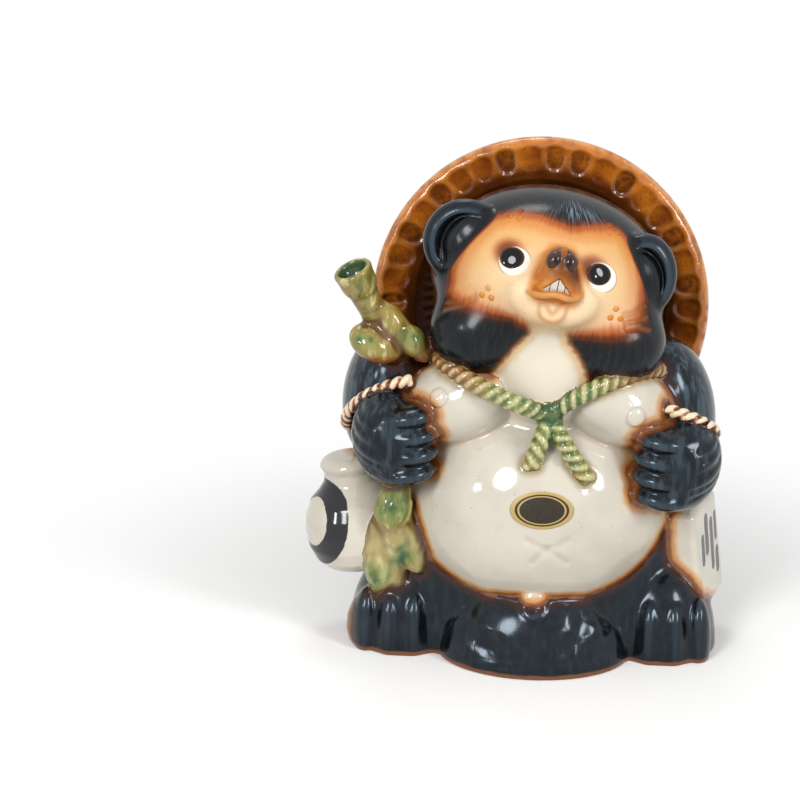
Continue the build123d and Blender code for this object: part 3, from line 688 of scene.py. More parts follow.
# Whose skin it is, evened out so that the borders run clean
borders = {"votes": 6, "tiny": 110, "spread": 40, "smooth": 16}
nearest = np.clip(np.round(points).astype(int), 0, gridCount - 1)
skinOwner = owner[nearest[:, 0], nearest[:, 1], nearest[:, 2]].astype(np.int64)
frontNumber, backNumber = pieceNumber("torso_front_shell"), pieceNumber("torso_back_shell")
half = np.where(skin[:, 1] < torso["seam"], frontNumber, backNumber)
skinOwner = np.where(skinOwner == pieceNumber("torso"), half, skinOwner)
kinds = len(pieceNames)
for step in range(borders["votes"]):
    votes = np.zeros(len(skin) * kinds, np.int32)
    for a in range(4):
        for b in range(4):
            choice = quads[:, a] * kinds + skinOwner[quads[:, b]]
            votes += np.bincount(choice, minlength=len(votes)).astype(np.int32)
    skinOwner = votes.reshape(len(skin), kinds).argmax(axis=1)


def islands(labels, a, b):
    # Smallest point number of each connected patch
    while True:
        low = np.minimum(labels[a], labels[b])
        new = labels.copy()
        np.minimum.at(new, a, low)
        np.minimum.at(new, b, low)
        new = new[new]
        if (new == labels).all():
            return labels
        labels = new


edgeA = quads.ravel()
edgeB = np.roll(quads, -1, axis=1).ravel()
same = skinOwner[edgeA] == skinOwner[edgeB]
patch = islands(np.arange(len(skin)), edgeA[same], edgeB[same])
tiny = np.bincount(patch, minlength=len(skin))[patch] < borders["tiny"]
skinOwner[tiny] = kinds  # no owner yet: taken over by a neighbour
for step in range(borders["spread"]):
    if (skinOwner < kinds).all():
        break
    for here, there in ((edgeA, edgeB), (edgeB, edgeA)):
        loose = skinOwner == kinds
        touching = loose[here] & ~loose[there]
        skinOwner[here[touching]] = skinOwner[there[touching]]
crumbs = skinOwner == kinds
print("crumbs left out:", crumbs.sum())
quads = quads[~crumbs[quads].any(axis=1)]
skinOwner[crumbs] = 0
corner = skinOwner[quads]
odd = np.where(corner[:, 2] == corner[:, 3], corner[:, 2], corner[:, 0])
faceOwner = np.where((corner[:, 1] == corner[:, 2]) | (corner[:, 1] == corner[:, 3]), corner[:, 1], odd)

# The borders between pieces are drawn out smooth along the skin
ends = np.stack([quads.ravel(), np.roll(quads, -1, axis=1).ravel()], axis=1)
faceOf = np.repeat(np.arange(len(quads)), 4)
code = ends.min(axis=1) * len(skin) + ends.max(axis=1)
order = np.argsort(code, kind="stable")
twin = code[order][:-1] == code[order][1:]
first, second = order[:-1][twin], order[1:][twin]
border = faceOwner[faceOf[first]] != faceOwner[faceOf[second]]
borderA, borderB = ends[first[border]].T
onBorder = np.bincount(borderA, minlength=len(skin)) + np.bincount(borderB, minlength=len(skin)) == 2
for step in range(borders["smooth"]):
    total = np.zeros_like(skin)
    np.add.at(total, borderA, skin[borderB])
    np.add.at(total, borderB, skin[borderA])
    skin[onBorder] = 0.5 * skin[onBorder] + 0.25 * total[onBorder]
    lift = sampled(field, (skin[onBorder] - gridLow) / voxel)
    skin[onBorder] -= normals[onBorder] * lift[:, None]
print("skin shared out among", len(np.unique(faceOwner)), "pieces")

# How each piece is glazed
glazes = {
    "dark": ["head", "jowl_left", "jowl_right", "ear_left", "ear_right", "arm_left", "arm_right",
             "paw_left", "paw_right", "foot_left", "foot_right", "money_bag", "tail",
             "torso_front_shell", "torso_back_shell"],
    "pale": ["belly", "throat", "chest_left", "chest_right", "nipple_left", "nipple_right", "bag_tip"],
    "inked": ["flask", "account_book"],
    "face": ["muzzle", "lower_lip", "chin"],
    "amber": ["hat"],
    "green": ["staff", "rope_left", "rope_right", "rope_knot", "rope_end_left", "rope_end_right"],
    "cuff": ["cuff_left", "cuff_right"],
}
headPieces = ("head", "jowl_left", "jowl_right", "ear_left", "ear_right", "throat", *glazes["face"])


def partOf(*names):
    # Which points of the skin belong to some pieces
    return np.isin(skinOwner, [pieceNumber(name) for name in names])


def glazed(*wanted):
    return partOf(*[piece for kind in wanted for piece in glazes[kind]])


def edgeTo(fromSet, toSet, reach):
    # From 0 at the border with other glazes to 1 at so many millimetres from it
    far = np.where(toSet, 0.0, reach).astype(np.float32)
    border = np.zeros(len(skin), bool)
    shared = toSet[quads].any(axis=1) & fromSet[quads].any(axis=1)
    border[quads[shared].ravel()] = True
    rim = np.nonzero(border & toSet)[0]
    tree = kdtree.KDTree(len(rim))
    for i in rim:
        tree.insert(skin[i], i)
    tree.balance()
    for i in np.nonzero(fromSet)[0]:
        far[i] = min(tree.find(skin[i])[2], reach)
    return far / reach


def evened(values, passes):
    # Averages each point with its neighbours, which takes the steps out of a border
    shares = np.bincount(edgeA, minlength=len(skin)) + np.bincount(edgeB, minlength=len(skin)) + 1e-6
    for step in range(passes):
        total = np.bincount(edgeA, values[edgeB], len(skin)) + np.bincount(edgeB, values[edgeA], len(skin))
        values = 0.4 * values + 0.6 * total / shares
    return values


def step01(values, low, high):
    t = np.clip((values - low) / (high - low), 0, 1)
    return t * t * (3 - 2 * t)


def blurred(values, steps):
    for axis in range(3):
        total = np.zeros_like(values)
        for shift in range(-steps, steps + 1):
            total += np.roll(values, shift, axis=axis)
        values = total / (2 * steps + 1)
    return values


def glowAt(point, reach):
    return np.exp(-(np.linalg.norm(skin - np.array(point), axis=1) / reach) ** 2)


# The painted face: its outline on the head, in degrees from the head's front
facePaint = {
    "outline": ((3.7, 51), (-18, 55), (-39, 53), (-53, 43), (-57, 22), (-58, 4), (-57, -12), (-49, -15.5),
                (-29, -16.4), (-17, -16.6), (-7, -22), (6, -23.5), (15, -20), (27, -16), (39, -10),
                (46, -3), (50, 7), (51, 28), (49, 43), (46, 52), (35, 56), (17, 54)),
    "bib": ((-5, -12), (-8, -24.4), (-13, -32.7), (-18, -39.9), (-24.5, -49), (-40, -70), (0, -86),
            (48, -68), (28, -44), (23, -36), (18, -30), (12, -24), (7, -13), (1, -9)),
    "span": 40.0, "bibSpan": 24.0,
}


def headAngles(at):
    p = (at - head["place"]["at"]) @ head["place"]["axes"] / head["radii"]
    rise = np.arctan2(p[:, 2], np.hypot(p[:, 0], p[:, 1]))
    return np.degrees(np.arctan2(p[:, 0], -p[:, 1])), np.degrees(rise)


def paintDepth(at, outline, span):
    # How far a point lies inside a painted outline, 0.5 on the line itself
    return np.clip(0.5 - outlineDistance(outline, *headAngles(at)) / span, 0, 1)


onHead = partOf(*headPieces)
faceMask = np.zeros(len(skin), np.float32)
faceMask[onHead] = paintDepth(skin[onHead], facePaint["outline"], facePaint["span"])
bibMask = np.zeros(len(skin), np.float32)
bibMask[onHead] = paintDepth(skin[onHead], facePaint["bib"], facePaint["bibSpan"])
for cup in earCups.values():
    near = eggDistance(cup)(*skin.T)
    faceMask = np.minimum(faceMask, 0.3 + 0.7 * step01(near, 0.5, 6.5)).astype(np.float32)

# Where one glaze runs into the next, with how many millimetres that takes
glazeRun = {"pale": 10.0, "dark": 12.0, "staff": 7.0, "rope": 2.5, "stain": 5.0}
onThroat, onStaff, onFlask = partOf("throat"), partOf("staff"), partOf("flask")
onArm, onPaw = partOf("arm_left", "arm_right"), partOf("paw_left", "paw_right")
carried, tails = partOf("flask", "account_book"), partOf("rope_end_left", "rope_end_right")
bib = onHead & (bibMask > 0.5)
pale = (glazed("pale", "inked") & ~onThroat) | bib
dark = (glazed("dark", "cuff") | onThroat) & ~bib
green = glazed("green")
paleEdge = edgeTo(pale, dark | onStaff, glazeRun["pale"])
paleEdge[carried] = edgeTo(carried, dark | (pale & ~carried), glazeRun["pale"])[carried]
paleEdge = evened(paleEdge, 6)
darkEdge = evened(edgeTo(dark, pale | green, glazeRun["dark"]), 6)
darkEdge = np.maximum(darkEdge, step01(bibMask, 0.42, 0.5))
staffEdge = edgeTo(green, ~green & ~onFlask, glazeRun["staff"])
greenEdge = evened(np.where(onStaff, staffEdge, edgeTo(green, ~green, glazeRun["rope"])), 4)
ropeEdge = evened(edgeTo(pale, green & ~onStaff, glazeRun["stain"]), 4)

# Iron wash on the muzzle and the brown of the nose running onto it; painted shade down the right of the nose
# and at the upper left of each eye
muzzleTone = np.zeros(len(skin), np.float32)
muzzleTone[onHead] = 1 - step01(muzzleDistance(*skin[onHead].T), 0.2, 3.6)
muzzleTone[partOf("lower_lip")] = 0.9
muzzleTone[partOf("chin")] = 0.12
muzzleTone = evened(muzzleTone, 6)
# The nose's brown running onto the snout, and painted shade down the snout's right side
noseBrownAndShade = glowAt(inside(muzzlePlace, (0, 4.0, 10.0))["at"], 7.5)
noseBrownAndShade += 0.8 * glowAt(inside(muzzlePlace, (6.0, 0.0, 7.0))["at"], 4.5)
mx, my, mz = local(muzzlePlace, *skin.T)
mouthGlow = np.exp(-((mx / 33) ** 2 + ((my + 9) / 19) ** 2 + (mz / 40) ** 2))
# Painted shade at the upper left of each eye socket, on the same side for both eyes
eyeShade = np.zeros(len(skin))
for side in sides.values():
    ex, ey, ez = local(spotOn(head, side * face["eyeAzimuth"], face["eyeRise"]), *skin.T)
    eyeShade += np.exp(-(((ex + 4.0) / 7.5) ** 2 + ((ey - 3.5) / 6.5) ** 2)) * (np.abs(ez) < 12)
hairAz, hairRise = (v.astype(np.float32) / 90 for v in headAngles(skin))
hairGlow = np.exp(-(((hairAz * 90 - 10) / 17) ** 2 + ((hairRise * 90 - 61) / 8) ** 2))
drawn = np.zeros(len(skin))
for line in drawnLines:
    path = curveThrough(line, 40)
    near = onHead & (np.abs(skin - path.mean(axis=0)).max(axis=1) < 20)
    gap = np.linalg.norm(skin[near][:, None, :] - path[None, :, :], axis=2).min(axis=1)
    drawn[near] = np.maximum(drawn[near], np.exp(-((gap / 1.05) ** 2)))

# Copper pools and iron burns of the green glaze
knotFar = np.linalg.norm(skin - knot, axis=1)
pools = ((cutPlace["at"] - cutPlace["axes"][:, 2] * 6, 7.5), ((fx - 13, fy - 5, fz + 45), 5),
         ((fx + 11, fy - 1, fz + 46), 5), ((fx + 1, fy - 8, 0.7 * fz), 9),
         ((fx + 6, fy - 3, 0.46 * fz), 6), ((fx - 7, fy - 4, 0.36 * fz), 7))
pooled = np.clip(sum(glowAt(at, reach) for at, reach in pools), 0, 1)
copper = np.where(tails, 0.75 - knotFar / 80, glowAt(knot, 34))
copper = np.where(onStaff, pooled, copper)
copper[onStaff & (eggDistance(dish)(*skin.T) < 0.5)] = 1.4
iron = np.where(tails, 0, step01(knotFar, 14, 52))
burnt = 1 - step01(skin[:, 2], 14, 36) + 1.3 * np.exp(-((skin[:, 2] - fz - 31) / 6) ** 2)
iron = np.where(onStaff, burnt, iron)
creamy = onStaff * step01(-skin[:, 2], -66, -50) * (1 - pooled)

# Brushed fur with a painted sheen where it faces front and up, raised clay, and the ring and strokes in ink
# Painted sheen: brush streaks are made pale where the arms and paws face the front and the lamps above
lampSide = step01(-normals[:, 1] + 0.4 * normals[:, 2], -0.1, 0.7)
brushSheen = evened(np.where(onArm, 0.8, np.where(onPaw, 0.4, 0.08)), 10) * lampSide
relief = np.clip(sampled(blurred(field, 3), points) / voxel * 0.5 + 0.5, 0, 1)
relief[onStaff] = np.minimum(relief[onStaff], 0.66)
brushwork = {
    "ringAt": (-98, -21.5, 56), "ring": 15.5, "ringHalf": 4.5, "soft": 6.0,
    "strokes": ((-9, 4, 2.4, 5), (-2, 9, 2.8, 7), (5, 2, 2.4, 10), (12, 8, 2.0, 5), (11, -8, 2.4, 4)),
}
ink = np.zeros(len(skin))
ringFar = np.linalg.norm(skin - np.array(brushwork["ringAt"]), axis=1)
ring = np.abs(ringFar - brushwork["ring"]) - brushwork["ringHalf"]
ink[onFlask] = np.clip(0.5 - ring / brushwork["soft"], 0, 1)[onFlask]
bx, by, bz = local(bookPlace, *skin.T)
strokes = np.full(len(skin), 40.0)
for across, up, wide, tall in brushwork["strokes"]:
    past = np.maximum(np.abs(bz - up) - tall, 0)
    strokes = np.minimum(strokes, np.hypot(by - across - 0.1 * (bz - up), past) - wide)
onCover = partOf("account_book") & (bx > book["size"][0] / 2 - 2)
ink[onCover] = np.clip(0.5 - strokes / brushwork["soft"], 0, 1)[onCover]
hx, hy, hz = local(hatPlace, *skin.T)
skinMarks = {
    "paleEdge": paleEdge, "darkEdge": darkEdge, "greenEdge": greenEdge, "ropeEdge": ropeEdge,
    "faceMask": faceMask, "bibMask": bibMask, "muzzleTone": muzzleTone, "noseBrownAndShade": noseBrownAndShade,
    "mouthGlow": mouthGlow, "eyeShade": eyeShade, "hairAz": hairAz, "hairRise": hairRise,
    "hairGlow": hairGlow, "drawn": drawn, "copper": copper, "iron": iron, "creamy": creamy,
    "staffShare": onStaff.astype(float), "tips": evened(onPaw.astype(float), 4), "brushSheen": brushSheen,
    "relief": relief, "ink": ink, "pressed": hatDimple(hx, hy, hz) * glazed("amber"),
    "hatRound": np.sqrt(hx**2 + hy**2) / (hat["diameter"] / 2),
}
marksOf = {
    "dark": ("darkEdge", "relief", "tips", "brushSheen"),
    "pale": ("paleEdge", "relief", "ropeEdge"),
    "inked": ("paleEdge", "relief", "ropeEdge", "ink"),
    "face": ("drawn", "hairGlow", "muzzleTone", "noseBrownAndShade", "faceMask", "bibMask", "hairAz", "hairRise",
             "mouthGlow", "eyeShade", "relief", "darkEdge"),
    "amber": ("pressed", "hatRound", "relief"),
    "green": ("relief", "copper", "iron", "greenEdge", "staffShare", "creamy"),
    "cuff": ("relief",),
}
print("glaze edges measured")


def linear(code):
    values = [int(code[i:i + 2], 16) / 255 for i in (1, 3, 5)]
    return tuple(v / 12.92 if v <= 0.04045 else ((v + 0.055) / 1.055) ** 2.4 for v in values) + (1.0,)


# What most nodes of a kind share here: settings, inputs and the output that is read
usualSettings = {"Mix": {"data_type": "RGBA"}, "MapRange": {"interpolation_type": "SMOOTHSTEP"},
                 "Math": {"operation": "MULTIPLY"}}
usualInputs = {"TexNoise": {"Detail": 3.0, "Roughness": 0.55}}
usualOutput = {"Mix": 2, "Attribute": "Fac", "TexCoord": "Object"}
mm = 1000.0  # a pattern's scale is this over its size in millimetres


def addNode(tree, kind, inputs=None, out=None, stops=(), blend="EASE", **settings):
    # One node with its settings, its values and its links
    made = tree.nodes.new("ShaderNode" + kind)
    for key, value in {**usualSettings.get(kind, {}), **settings}.items():
        setattr(made, key, value)
    for key, value in {**usualInputs.get(kind, {}), **(inputs or {})}.items():
        if isinstance(value, bpy.types.NodeSocket):
            tree.links.new(value, made.inputs[key])
        else:
            made.inputs[key].default_value = linear(value) if isinstance(value, str) else value
    if stops:
        made.color_ramp.interpolation = blend
        while len(made.color_ramp.elements) < len(stops):
            made.color_ramp.elements.new(0.5)
        for element, (at, colour) in zip(made.color_ramp.elements, stops):
            element.position = at
            element.color = linear(colour)
    return made.outputs[usualOutput.get(kind, 0) if out is None else out] if made.outputs else None


def newMaterial(name):
    material = bpy.data.materials.new(name)
    material.use_nodes = True
    material.node_tree.nodes.clear()
    return material, partial(addNode, material.node_tree)


def startGlaze(name, kind, sizes):
    # A glaze with the marks of its pieces, and noise in patches of some millimetres
    material, add = newMaterial(name)
    where = add("TexCoord")
    marks = {key: add("Attribute", attribute_name=key) for key in marksOf.get(kind, (kind,))}
    noise = {size: add("TexNoise", {"Vector": where, "Scale": mm / size}) for size in sizes}
    return material, add, where, marks, noise


def fireGlaze(add, looks, colour, height, depth, strength):
    # The finished coat: its colour, its gloss and the waves of its surface
    waves = add("Bump", {"Strength": strength, "Distance": depth, "Height": height})
    coat = add("BsdfPrincipled", {"Base Color": colour, "Normal": waves, **looks})
    add("OutputMaterial", {0: coat})


def lay(add, under, over, value, low, high, first=0.0, last=1.0):
    # Lays one colour over another where a value runs from low to high
    share = add("MapRange", {0: value, 1: low, 2: high, 3: first, 4: last})
    return add("Mix", {0: share, 6: under, 7: over})


def frayed(add, mark, noise, amount):
    # A mark whose edge is broken up by noise
    shift = add("Math", {0: add("Math", {0: noise, 1: 0.5}, operation="SUBTRACT"), 1: amount})
    return add("Math", {0: mark, 1: shift}, operation="ADD")


def footLine(add, where, noise, colour):
    # The bare stoneware foot, left unglazed where the figure stood in the kiln
    height = add("SeparateXYZ", {0: where}, out=2)
    uneven = add("Math", {0: height, 1: add("Math", {0: noise, 1: 0.0016})}, operation="SUBTRACT")
    return lay(add, "#6f4327", colour, uneven, 0.0006, 0.0018)


# Cream feldspar glaze, poured over pale stoneware: thick and wet, with iron specks and burnt orange edges
creamLook = {"Roughness": 0.1, "IOR": 1.52}


def creamGlaze(name, kind):
    material, add, where, marks, noise = startGlaze(name, kind, (26, 4, 7, 9))
    base = lay(add, "#c9c2b4", "#beb6a8", noise[26], 0.35, 0.7)
    dots = add("TexVoronoi", {"Vector": where, "Scale": mm / 2.6}, out="Distance", feature="F1")
    some = add("SeparateColor", {0: dots.node.outputs["Color"]})  # only a few of the dots come out
    dots = add("MapRange", {0: dots, 1: 0.06, 2: 0.16, 3: 1.0, 4: 0.0})
    some = add("MapRange", {0: some, 1: 0.62, 2: 0.9})
    specks = add("Math", {0: add("Math", {0: dots, 1: some}), 1: 0.6})
    base = add("Mix", {0: specks, 6: base, 7: "#7a5a44"})
    edge = frayed(add, marks["paleEdge"], noise[4], 0.16)
    burnt = add("ValToRGB", {0: edge}, stops=(
        (0.0, "#40200f"), (0.14, "#7d441c"), (0.34, "#c08a50"), (0.7, "#d8c6aa")))
    colour = lay(add, base, burnt, edge, 0.25, 0.85, 1.0, 0.0)
    colour = lay(add, colour, "#8c7a40", marks["ropeEdge"], 0.0, 0.75, 0.75, 0.0)
    colour = lay(add, colour, "#b98a5c", marks["relief"], 0.1, 0.38, 0.32, 0.0)
    if "ink" in marks:
        hairs = add("TexNoise", {"Vector": where, "Scale": mm / 2})
        colour = lay(add, colour, "#15161a", frayed(add, marks["ink"], hairs, 0.1), 0.47, 0.53)
    fireGlaze(add, creamLook, footLine(add, where, noise[7], colour), noise[9], 0.0003, 0.25)
    return material


# Indigo-black slip brushed on and glazed: satin, blue-grey where thin, rust brown at its edges
indigoLook = {"Roughness": 0.16, "IOR": 1.52, "Specular IOR Level": 0.4, "Specular Tint": "#cfe0ee"}


def indigoGlaze():
    material, add, where, marks, noise = startGlaze("indigoSlipBrushedGlaze", "dark", (8, 4, 7))
    base = lay(add, "#07090c", "#11161b", noise[8], 0.35, 0.7)
    # Brush hairs are finer than this: drawn over 2 mm wide and 25 mm long so that they show
    perMm = (0.42 * mm, 0.42 * mm, 0.04 * mm)
    combed = add("Mapping", {"Vector": where, "Rotation": (0.3, 0.6, 0.0), "Scale": perMm})
    strokes = add("TexNoise", {"Vector": combed, "Scale": 1.0, "Detail": 2.0, "Roughness": 0.5})
    # Painted sheen: pale slate streaks, strongest on the lit front of the arms and paws
    sheenStreaks = add("MapRange", {0: strokes, 1: 0.44, 2: 0.7})
    sheenStreaks = add("Math", {0: sheenStreaks, 1: marks["brushSheen"]})
    base = add("Mix", {0: add("Math", {0: sheenStreaks, 1: 0.5}), 6: base, 7: "#5f727f"})
    thin = add("MapRange", {0: marks["relief"], 1: 0.55, 2: 0.85})
    base = add("Mix", {0: add("Math", {0: thin, 1: 0.6}), 6: base, 7: "#3a4751"})
    edge = frayed(add, marks["darkEdge"], noise[4], 0.2)
    rust = add("ValToRGB", {0: edge}, stops=((0.0, "#40200f"), (0.15, "#351a0e"), (0.4, "#1e1513")))
    tip = add("ValToRGB", {0: edge}, stops=((0.0, "#8a5a34"), (0.18, "#6b3a1c"), (0.4, "#2a1812")))
    rust = add("Mix", {0: marks["tips"], 6: rust, 7: tip})
    colour = lay(add, base, rust, edge, 0.15, 0.5, 1.0, 0.0)
    fireGlaze(add, indigoLook, footLine(add, where, noise[7], colour), strokes, 0.00015, 0.25)
    return material


# The head: iron-red wash sprayed on cream for the face, indigo slip brushed round it as fur
headLook = {"IOR": 1.5, "Specular IOR Level": 0.24}


def headGlaze():
    material, add, where, marks, noise = startGlaze("airbrushedIronWashFace", "face", (3, 0.9, 5, 2.2))
    # Hairs about 1 mm wide, coarser than real brush marks so that they show
    across = add("Math", {0: marks["hairAz"], 1: 60.0})
    hair = add("CombineXYZ", {0: across, 1: add("Math", {0: marks["hairRise"], 1: 7.0})})
    strokes = add("TexNoise", {"Vector": hair, "Scale": 1.0, "Roughness": 0.5})
    depth = frayed(add, marks["faceMask"], strokes, 0.1)
    wash = add("ValToRGB", {0: depth}, stops=(
        (0.34, "#14181d"), (0.45, "#23140c"), (0.52, "#54240a"), (0.6, "#9f4c12"), (0.74, "#c67d33"),
        (0.95, "#d09c5a")))
    fur = lay(add, "#090a0d", "#171d23", strokes, 0.35, 0.7)
    fur = lay(add, fur, "#36434d", marks["relief"], 0.53, 0.75, 0.0, 0.75)
    fur = lay(add, fur, "#040506", marks["relief"], 0.3, 0.46, 0.9, 0.0)
    colour = lay(add, fur, wash, depth, 0.36, 0.48)
    glow = add("Math", {0: marks["hairGlow"], 1: add("MapRange", {0: strokes, 1: 0.46, 2: 0.62})})
    colour = add("Mix", {0: add("Math", {0: glow, 1: 0.75}), 6: colour, 7: "#7d909d"})
    cheek = add("Math", {0: marks["mouthGlow"], 1: add("MapRange", {0: depth, 1: 0.55, 2: 0.75})})
    colour = add("Mix", {0: add("Math", {0: cheek, 1: 0.85}), 6: colour, 7: "#efdcb8"})
    # Painted shade at the upper left of each eye socket
    socket = add("ValToRGB", {0: marks["eyeShade"]}, stops=(
        (0.0, "#c98a4c"), (0.55, "#9a4c1c"), (1.0, "#4a1e0c")))
    colour = lay(add, colour, socket, marks["eyeShade"], 0.15, 0.75, 0.0, 0.95)
    bib = frayed(add, marks["bibMask"], noise[3], 0.12)
    bibTone = add("ValToRGB", {0: bib}, stops=(
        (0.36, "#3a2216"), (0.46, "#8a5a34"), (0.56, "#c9ae88"), (0.75, "#d5ccba")))
    bibTone = lay(add, bibTone, "#d8bb90", marks["mouthGlow"], 0.42, 0.68)
    colour = lay(add, colour, bibTone, bib, 0.34, 0.5)
    rust = add("MapRange", {0: marks["darkEdge"], 1: 0.0, 2: 0.3, 3: 0.8, 4: 0.0})
    below = add("MapRange", {0: marks["mouthGlow"], 1: 0.42, 2: 0.65, 3: 1.0, 4: 0.0})
    colour = add("Mix", {0: add("Math", {0: rust, 1: below}), 6: colour, 7: "#40200f"})
    specks = add("MapRange", {0: noise[0.9], 1: 0.55, 2: 0.75, 3: 0.0, 4: 0.22})
    specks = add("Math", {0: specks, 1: add("MapRange", {0: depth, 1: 0.5, 2: 0.65})})
    colour = add("Mix", {0: specks, 6: colour, 7: "#8a5220"})
    snout = lay(add, "#b8661f", "#d08a3e", noise[5], 0.35, 0.7)
    snout = lay(add, snout, "#d2923e", marks["relief"], 0.58, 0.9, 0.0, 0.4)
    snout = lay(add, snout, "#8a4a1e", marks["relief"], 0.2, 0.45, 0.5, 0.0)
    # The nose's brown on the snout, with painted shade down its right side
    snout = add("Mix", {0: marks["noseBrownAndShade"], 6: snout, 7: "#552810"})
    colour = add("Mix", {0: add("Math", {0: marks["drawn"], 1: 0.6}), 6: colour, 7: "#9a5a24"})
    colour = add("Mix", {0: marks["muzzleTone"], 6: colour, 7: snout})
    rough = add("MapRange", {0: depth, 1: 0.4, 2: 0.7, 3: 0.2, 4: 0.4})
    rough = add("Math", {0: rough, 1: add("MapRange", {0: bib, 1: 0.4, 2: 0.6, 3: 1.0, 4: 0.35})})
    fireGlaze(add, {**headLook, "Roughness": rough}, colour, noise[2.2], 0.00012, 0.3)
    return material


# Amber iron glaze on the hat: runs thin and orange on ridges, pools to brown in the pressed dimples
amberLook = {"Roughness": 0.14, "IOR": 1.53}


def amberGlaze():
    material, add, where, marks, noise = startGlaze("amberIronGlazeDipped", "amber", (3, 5, 6))
    blotch = add("TexNoise", {"Vector": where, "Scale": mm / 12, "Roughness": 0.5})
    fleck = add("TexNoise", {"Vector": where, "Scale": mm / 1.1, "Detail": 2.0})
    base = lay(add, "#823c0f", "#c8721e", blotch, 0.3, 0.7)
    base = lay(add, base, "#5a280c", fleck, 0.5, 0.72, 0.0, 0.5)
    pooled = add("Math", {0: marks["pressed"], 1: add("Math", {0: noise[3], 1: 0.6})})
    colour = lay(add, base, "#43200d", pooled, 0.08, 0.4, 0.0, 0.85)
    thin = add("MapRange", {0: marks["relief"], 1: 0.53, 2: 0.75})
    thin = add("Math", {0: thin, 1: add("Math", {0: noise[5], 1: 0.9})})
    colour = add("Mix", {0: thin, 6: colour, 7: "#bb7830"})
    colour = lay(add, colour, "#361709", marks["hatRound"], 0.78, 0.87, 0.85, 0.0)
    # Painted highlight: a pale band along the outer lip of the brim
    lip = add("MapRange", {0: marks["hatRound"], 1: 0.965, 2: 0.995, 3: 0.0, 4: 0.85})
    lip = add("Math", {0: lip, 1: add("MapRange", {0: noise[6], 1: 0.35, 2: 0.6})})
    colour = add("Mix", {0: lip, 6: colour, 7: "#cf9a63"})
    waves = add("TexNoise", {"Vector": where, "Scale": mm / 2.5, "Detail": 4.0})
    fireGlaze(add, amberLook, colour, waves, 0.0004, 0.35)
    return material


# Copper-green glaze on cream: olive on the ridges, bottle green where it pools, amber where it is thin
greenLook = {"Roughness": 0.09, "IOR": 1.53}


def oliveGlaze():
    material, add, where, marks, noise = startGlaze("copperGreenGlazePooled", "green", (5, 6, 9, 7, 4))
    copper = frayed(add, marks["copper"], noise[5], 0.7)
    iron = frayed(add, marks["iron"], noise[6], 0.8)
    base = lay(add, "#927836", "#8c8642", noise[9], 0.35, 0.68)
    perMm = (0.26 * mm, 0.26 * mm, 0.08 * mm)  # runs of glaze 4 mm wide and 12 mm long
    runs = add("Mapping", {"Vector": where, "Rotation": (0.1, 0.2, 0.0), "Scale": perMm})
    runs = add("TexNoise", {"Vector": runs, "Scale": 1.0, "Roughness": 0.5})
    base = lay(add, base, "#c9bd88", runs, 0.55, 0.7)
    green = add("MapRange", {0: runs, 1: 0.36, 2: 0.5, 3: 0.9, 4: 0.0})
    green = add("Math", {0: green, 1: add("MapRange", {0: copper, 1: 0.0, 2: 0.5, 3: 0.35, 4: 1.0})})
    base = add("Mix", {0: green, 6: base, 7: "#3d4a18"})
    base = add("Mix", {0: add("Math", {0: marks["creamy"], 1: 0.6}), 6: base, 7: "#b8aa7c"})
    base = lay(add, base, "#8a4c1c", iron, 0.2, 0.9, 0.0, 0.9)
    base = lay(add, base, "#5f8045", copper, 0.15, 0.8, 0.0, 0.6)
    deep = lay(add, "#54300f", "#27502c", copper, 0.1, 0.5)
    pool = add("MapRange", {0: marks["relief"], 1: 0.38, 2: 0.6, 3: 1.0, 4: 0.0})
    pool = add("Math", {0: pool, 1: add("MapRange", {0: marks["creamy"], 1: 0.0, 2: 1.0, 3: 0.9, 4: 0.4})})
    colour = add("Mix", {0: pool, 6: base, 7: deep})
    colour = lay(add, colour, "#1d4226", copper, 0.7, 1.1, 0.0, 0.85)
    colour = lay(add, colour, "#d8d0a2", marks["relief"], 0.64, 0.95, 0.0, 0.7)
    border = add("Mix", {0: marks["staffShare"], 6: "#7c6a34", 7: "#40200f"})
    colour = lay(add, colour, border, marks["greenEdge"], 0.0, 0.6, 0.95, 0.0)
    fireGlaze(add, greenLook, footLine(add, where, noise[7], colour), noise[4], 0.0003, 0.3)
    return material


# Rope cuffs: cream glaze wiped back to iron brown in the lay of the rope
cuffLook = {"Roughness": 0.14, "IOR": 1.5}


def cuffGlaze():
    material, add, where, marks, noise = startGlaze("wipedIronWashCuff", "cuff", (4, 3))
    high = frayed(add, marks["relief"], noise[4], 1.0)
    colour = add("ValToRGB", {0: high}, stops=((0.5, "#3a2015"), (0.69, "#8a4e28"), (0.85, "#e2cdae")))
    fireGlaze(add, cuffLook, colour, noise[3], 0.0002, 0.3)
    return material


materials = {
    "dark": indigoGlaze(), "pale": creamGlaze("creamFeldsparGlazePoured", "pale"),
    "inked": creamGlaze("creamGlazeInkBrushed", "inked"), "face": headGlaze(), "amber": amberGlaze(),
    "green": oliveGlaze(), "cuff": cuffGlaze(),
}
print("glazes mixed")


def inFrame(at):
    return ((at + np.array(clay["shift"])) * 0.001).astype(np.float32)


def dress(mesh, marks, material, node):
    for key, values in marks.items():
        mesh.attributes.new(key, "FLOAT", "POINT").data.foreach_set("value", values.astype(np.float32))
    mesh.materials.append(material)
    piece = bpy.data.objects.new(mesh.name, mesh)
    bpy.context.scene.collection.objects.link(piece)
    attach(piece, "root")
    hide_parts(node)


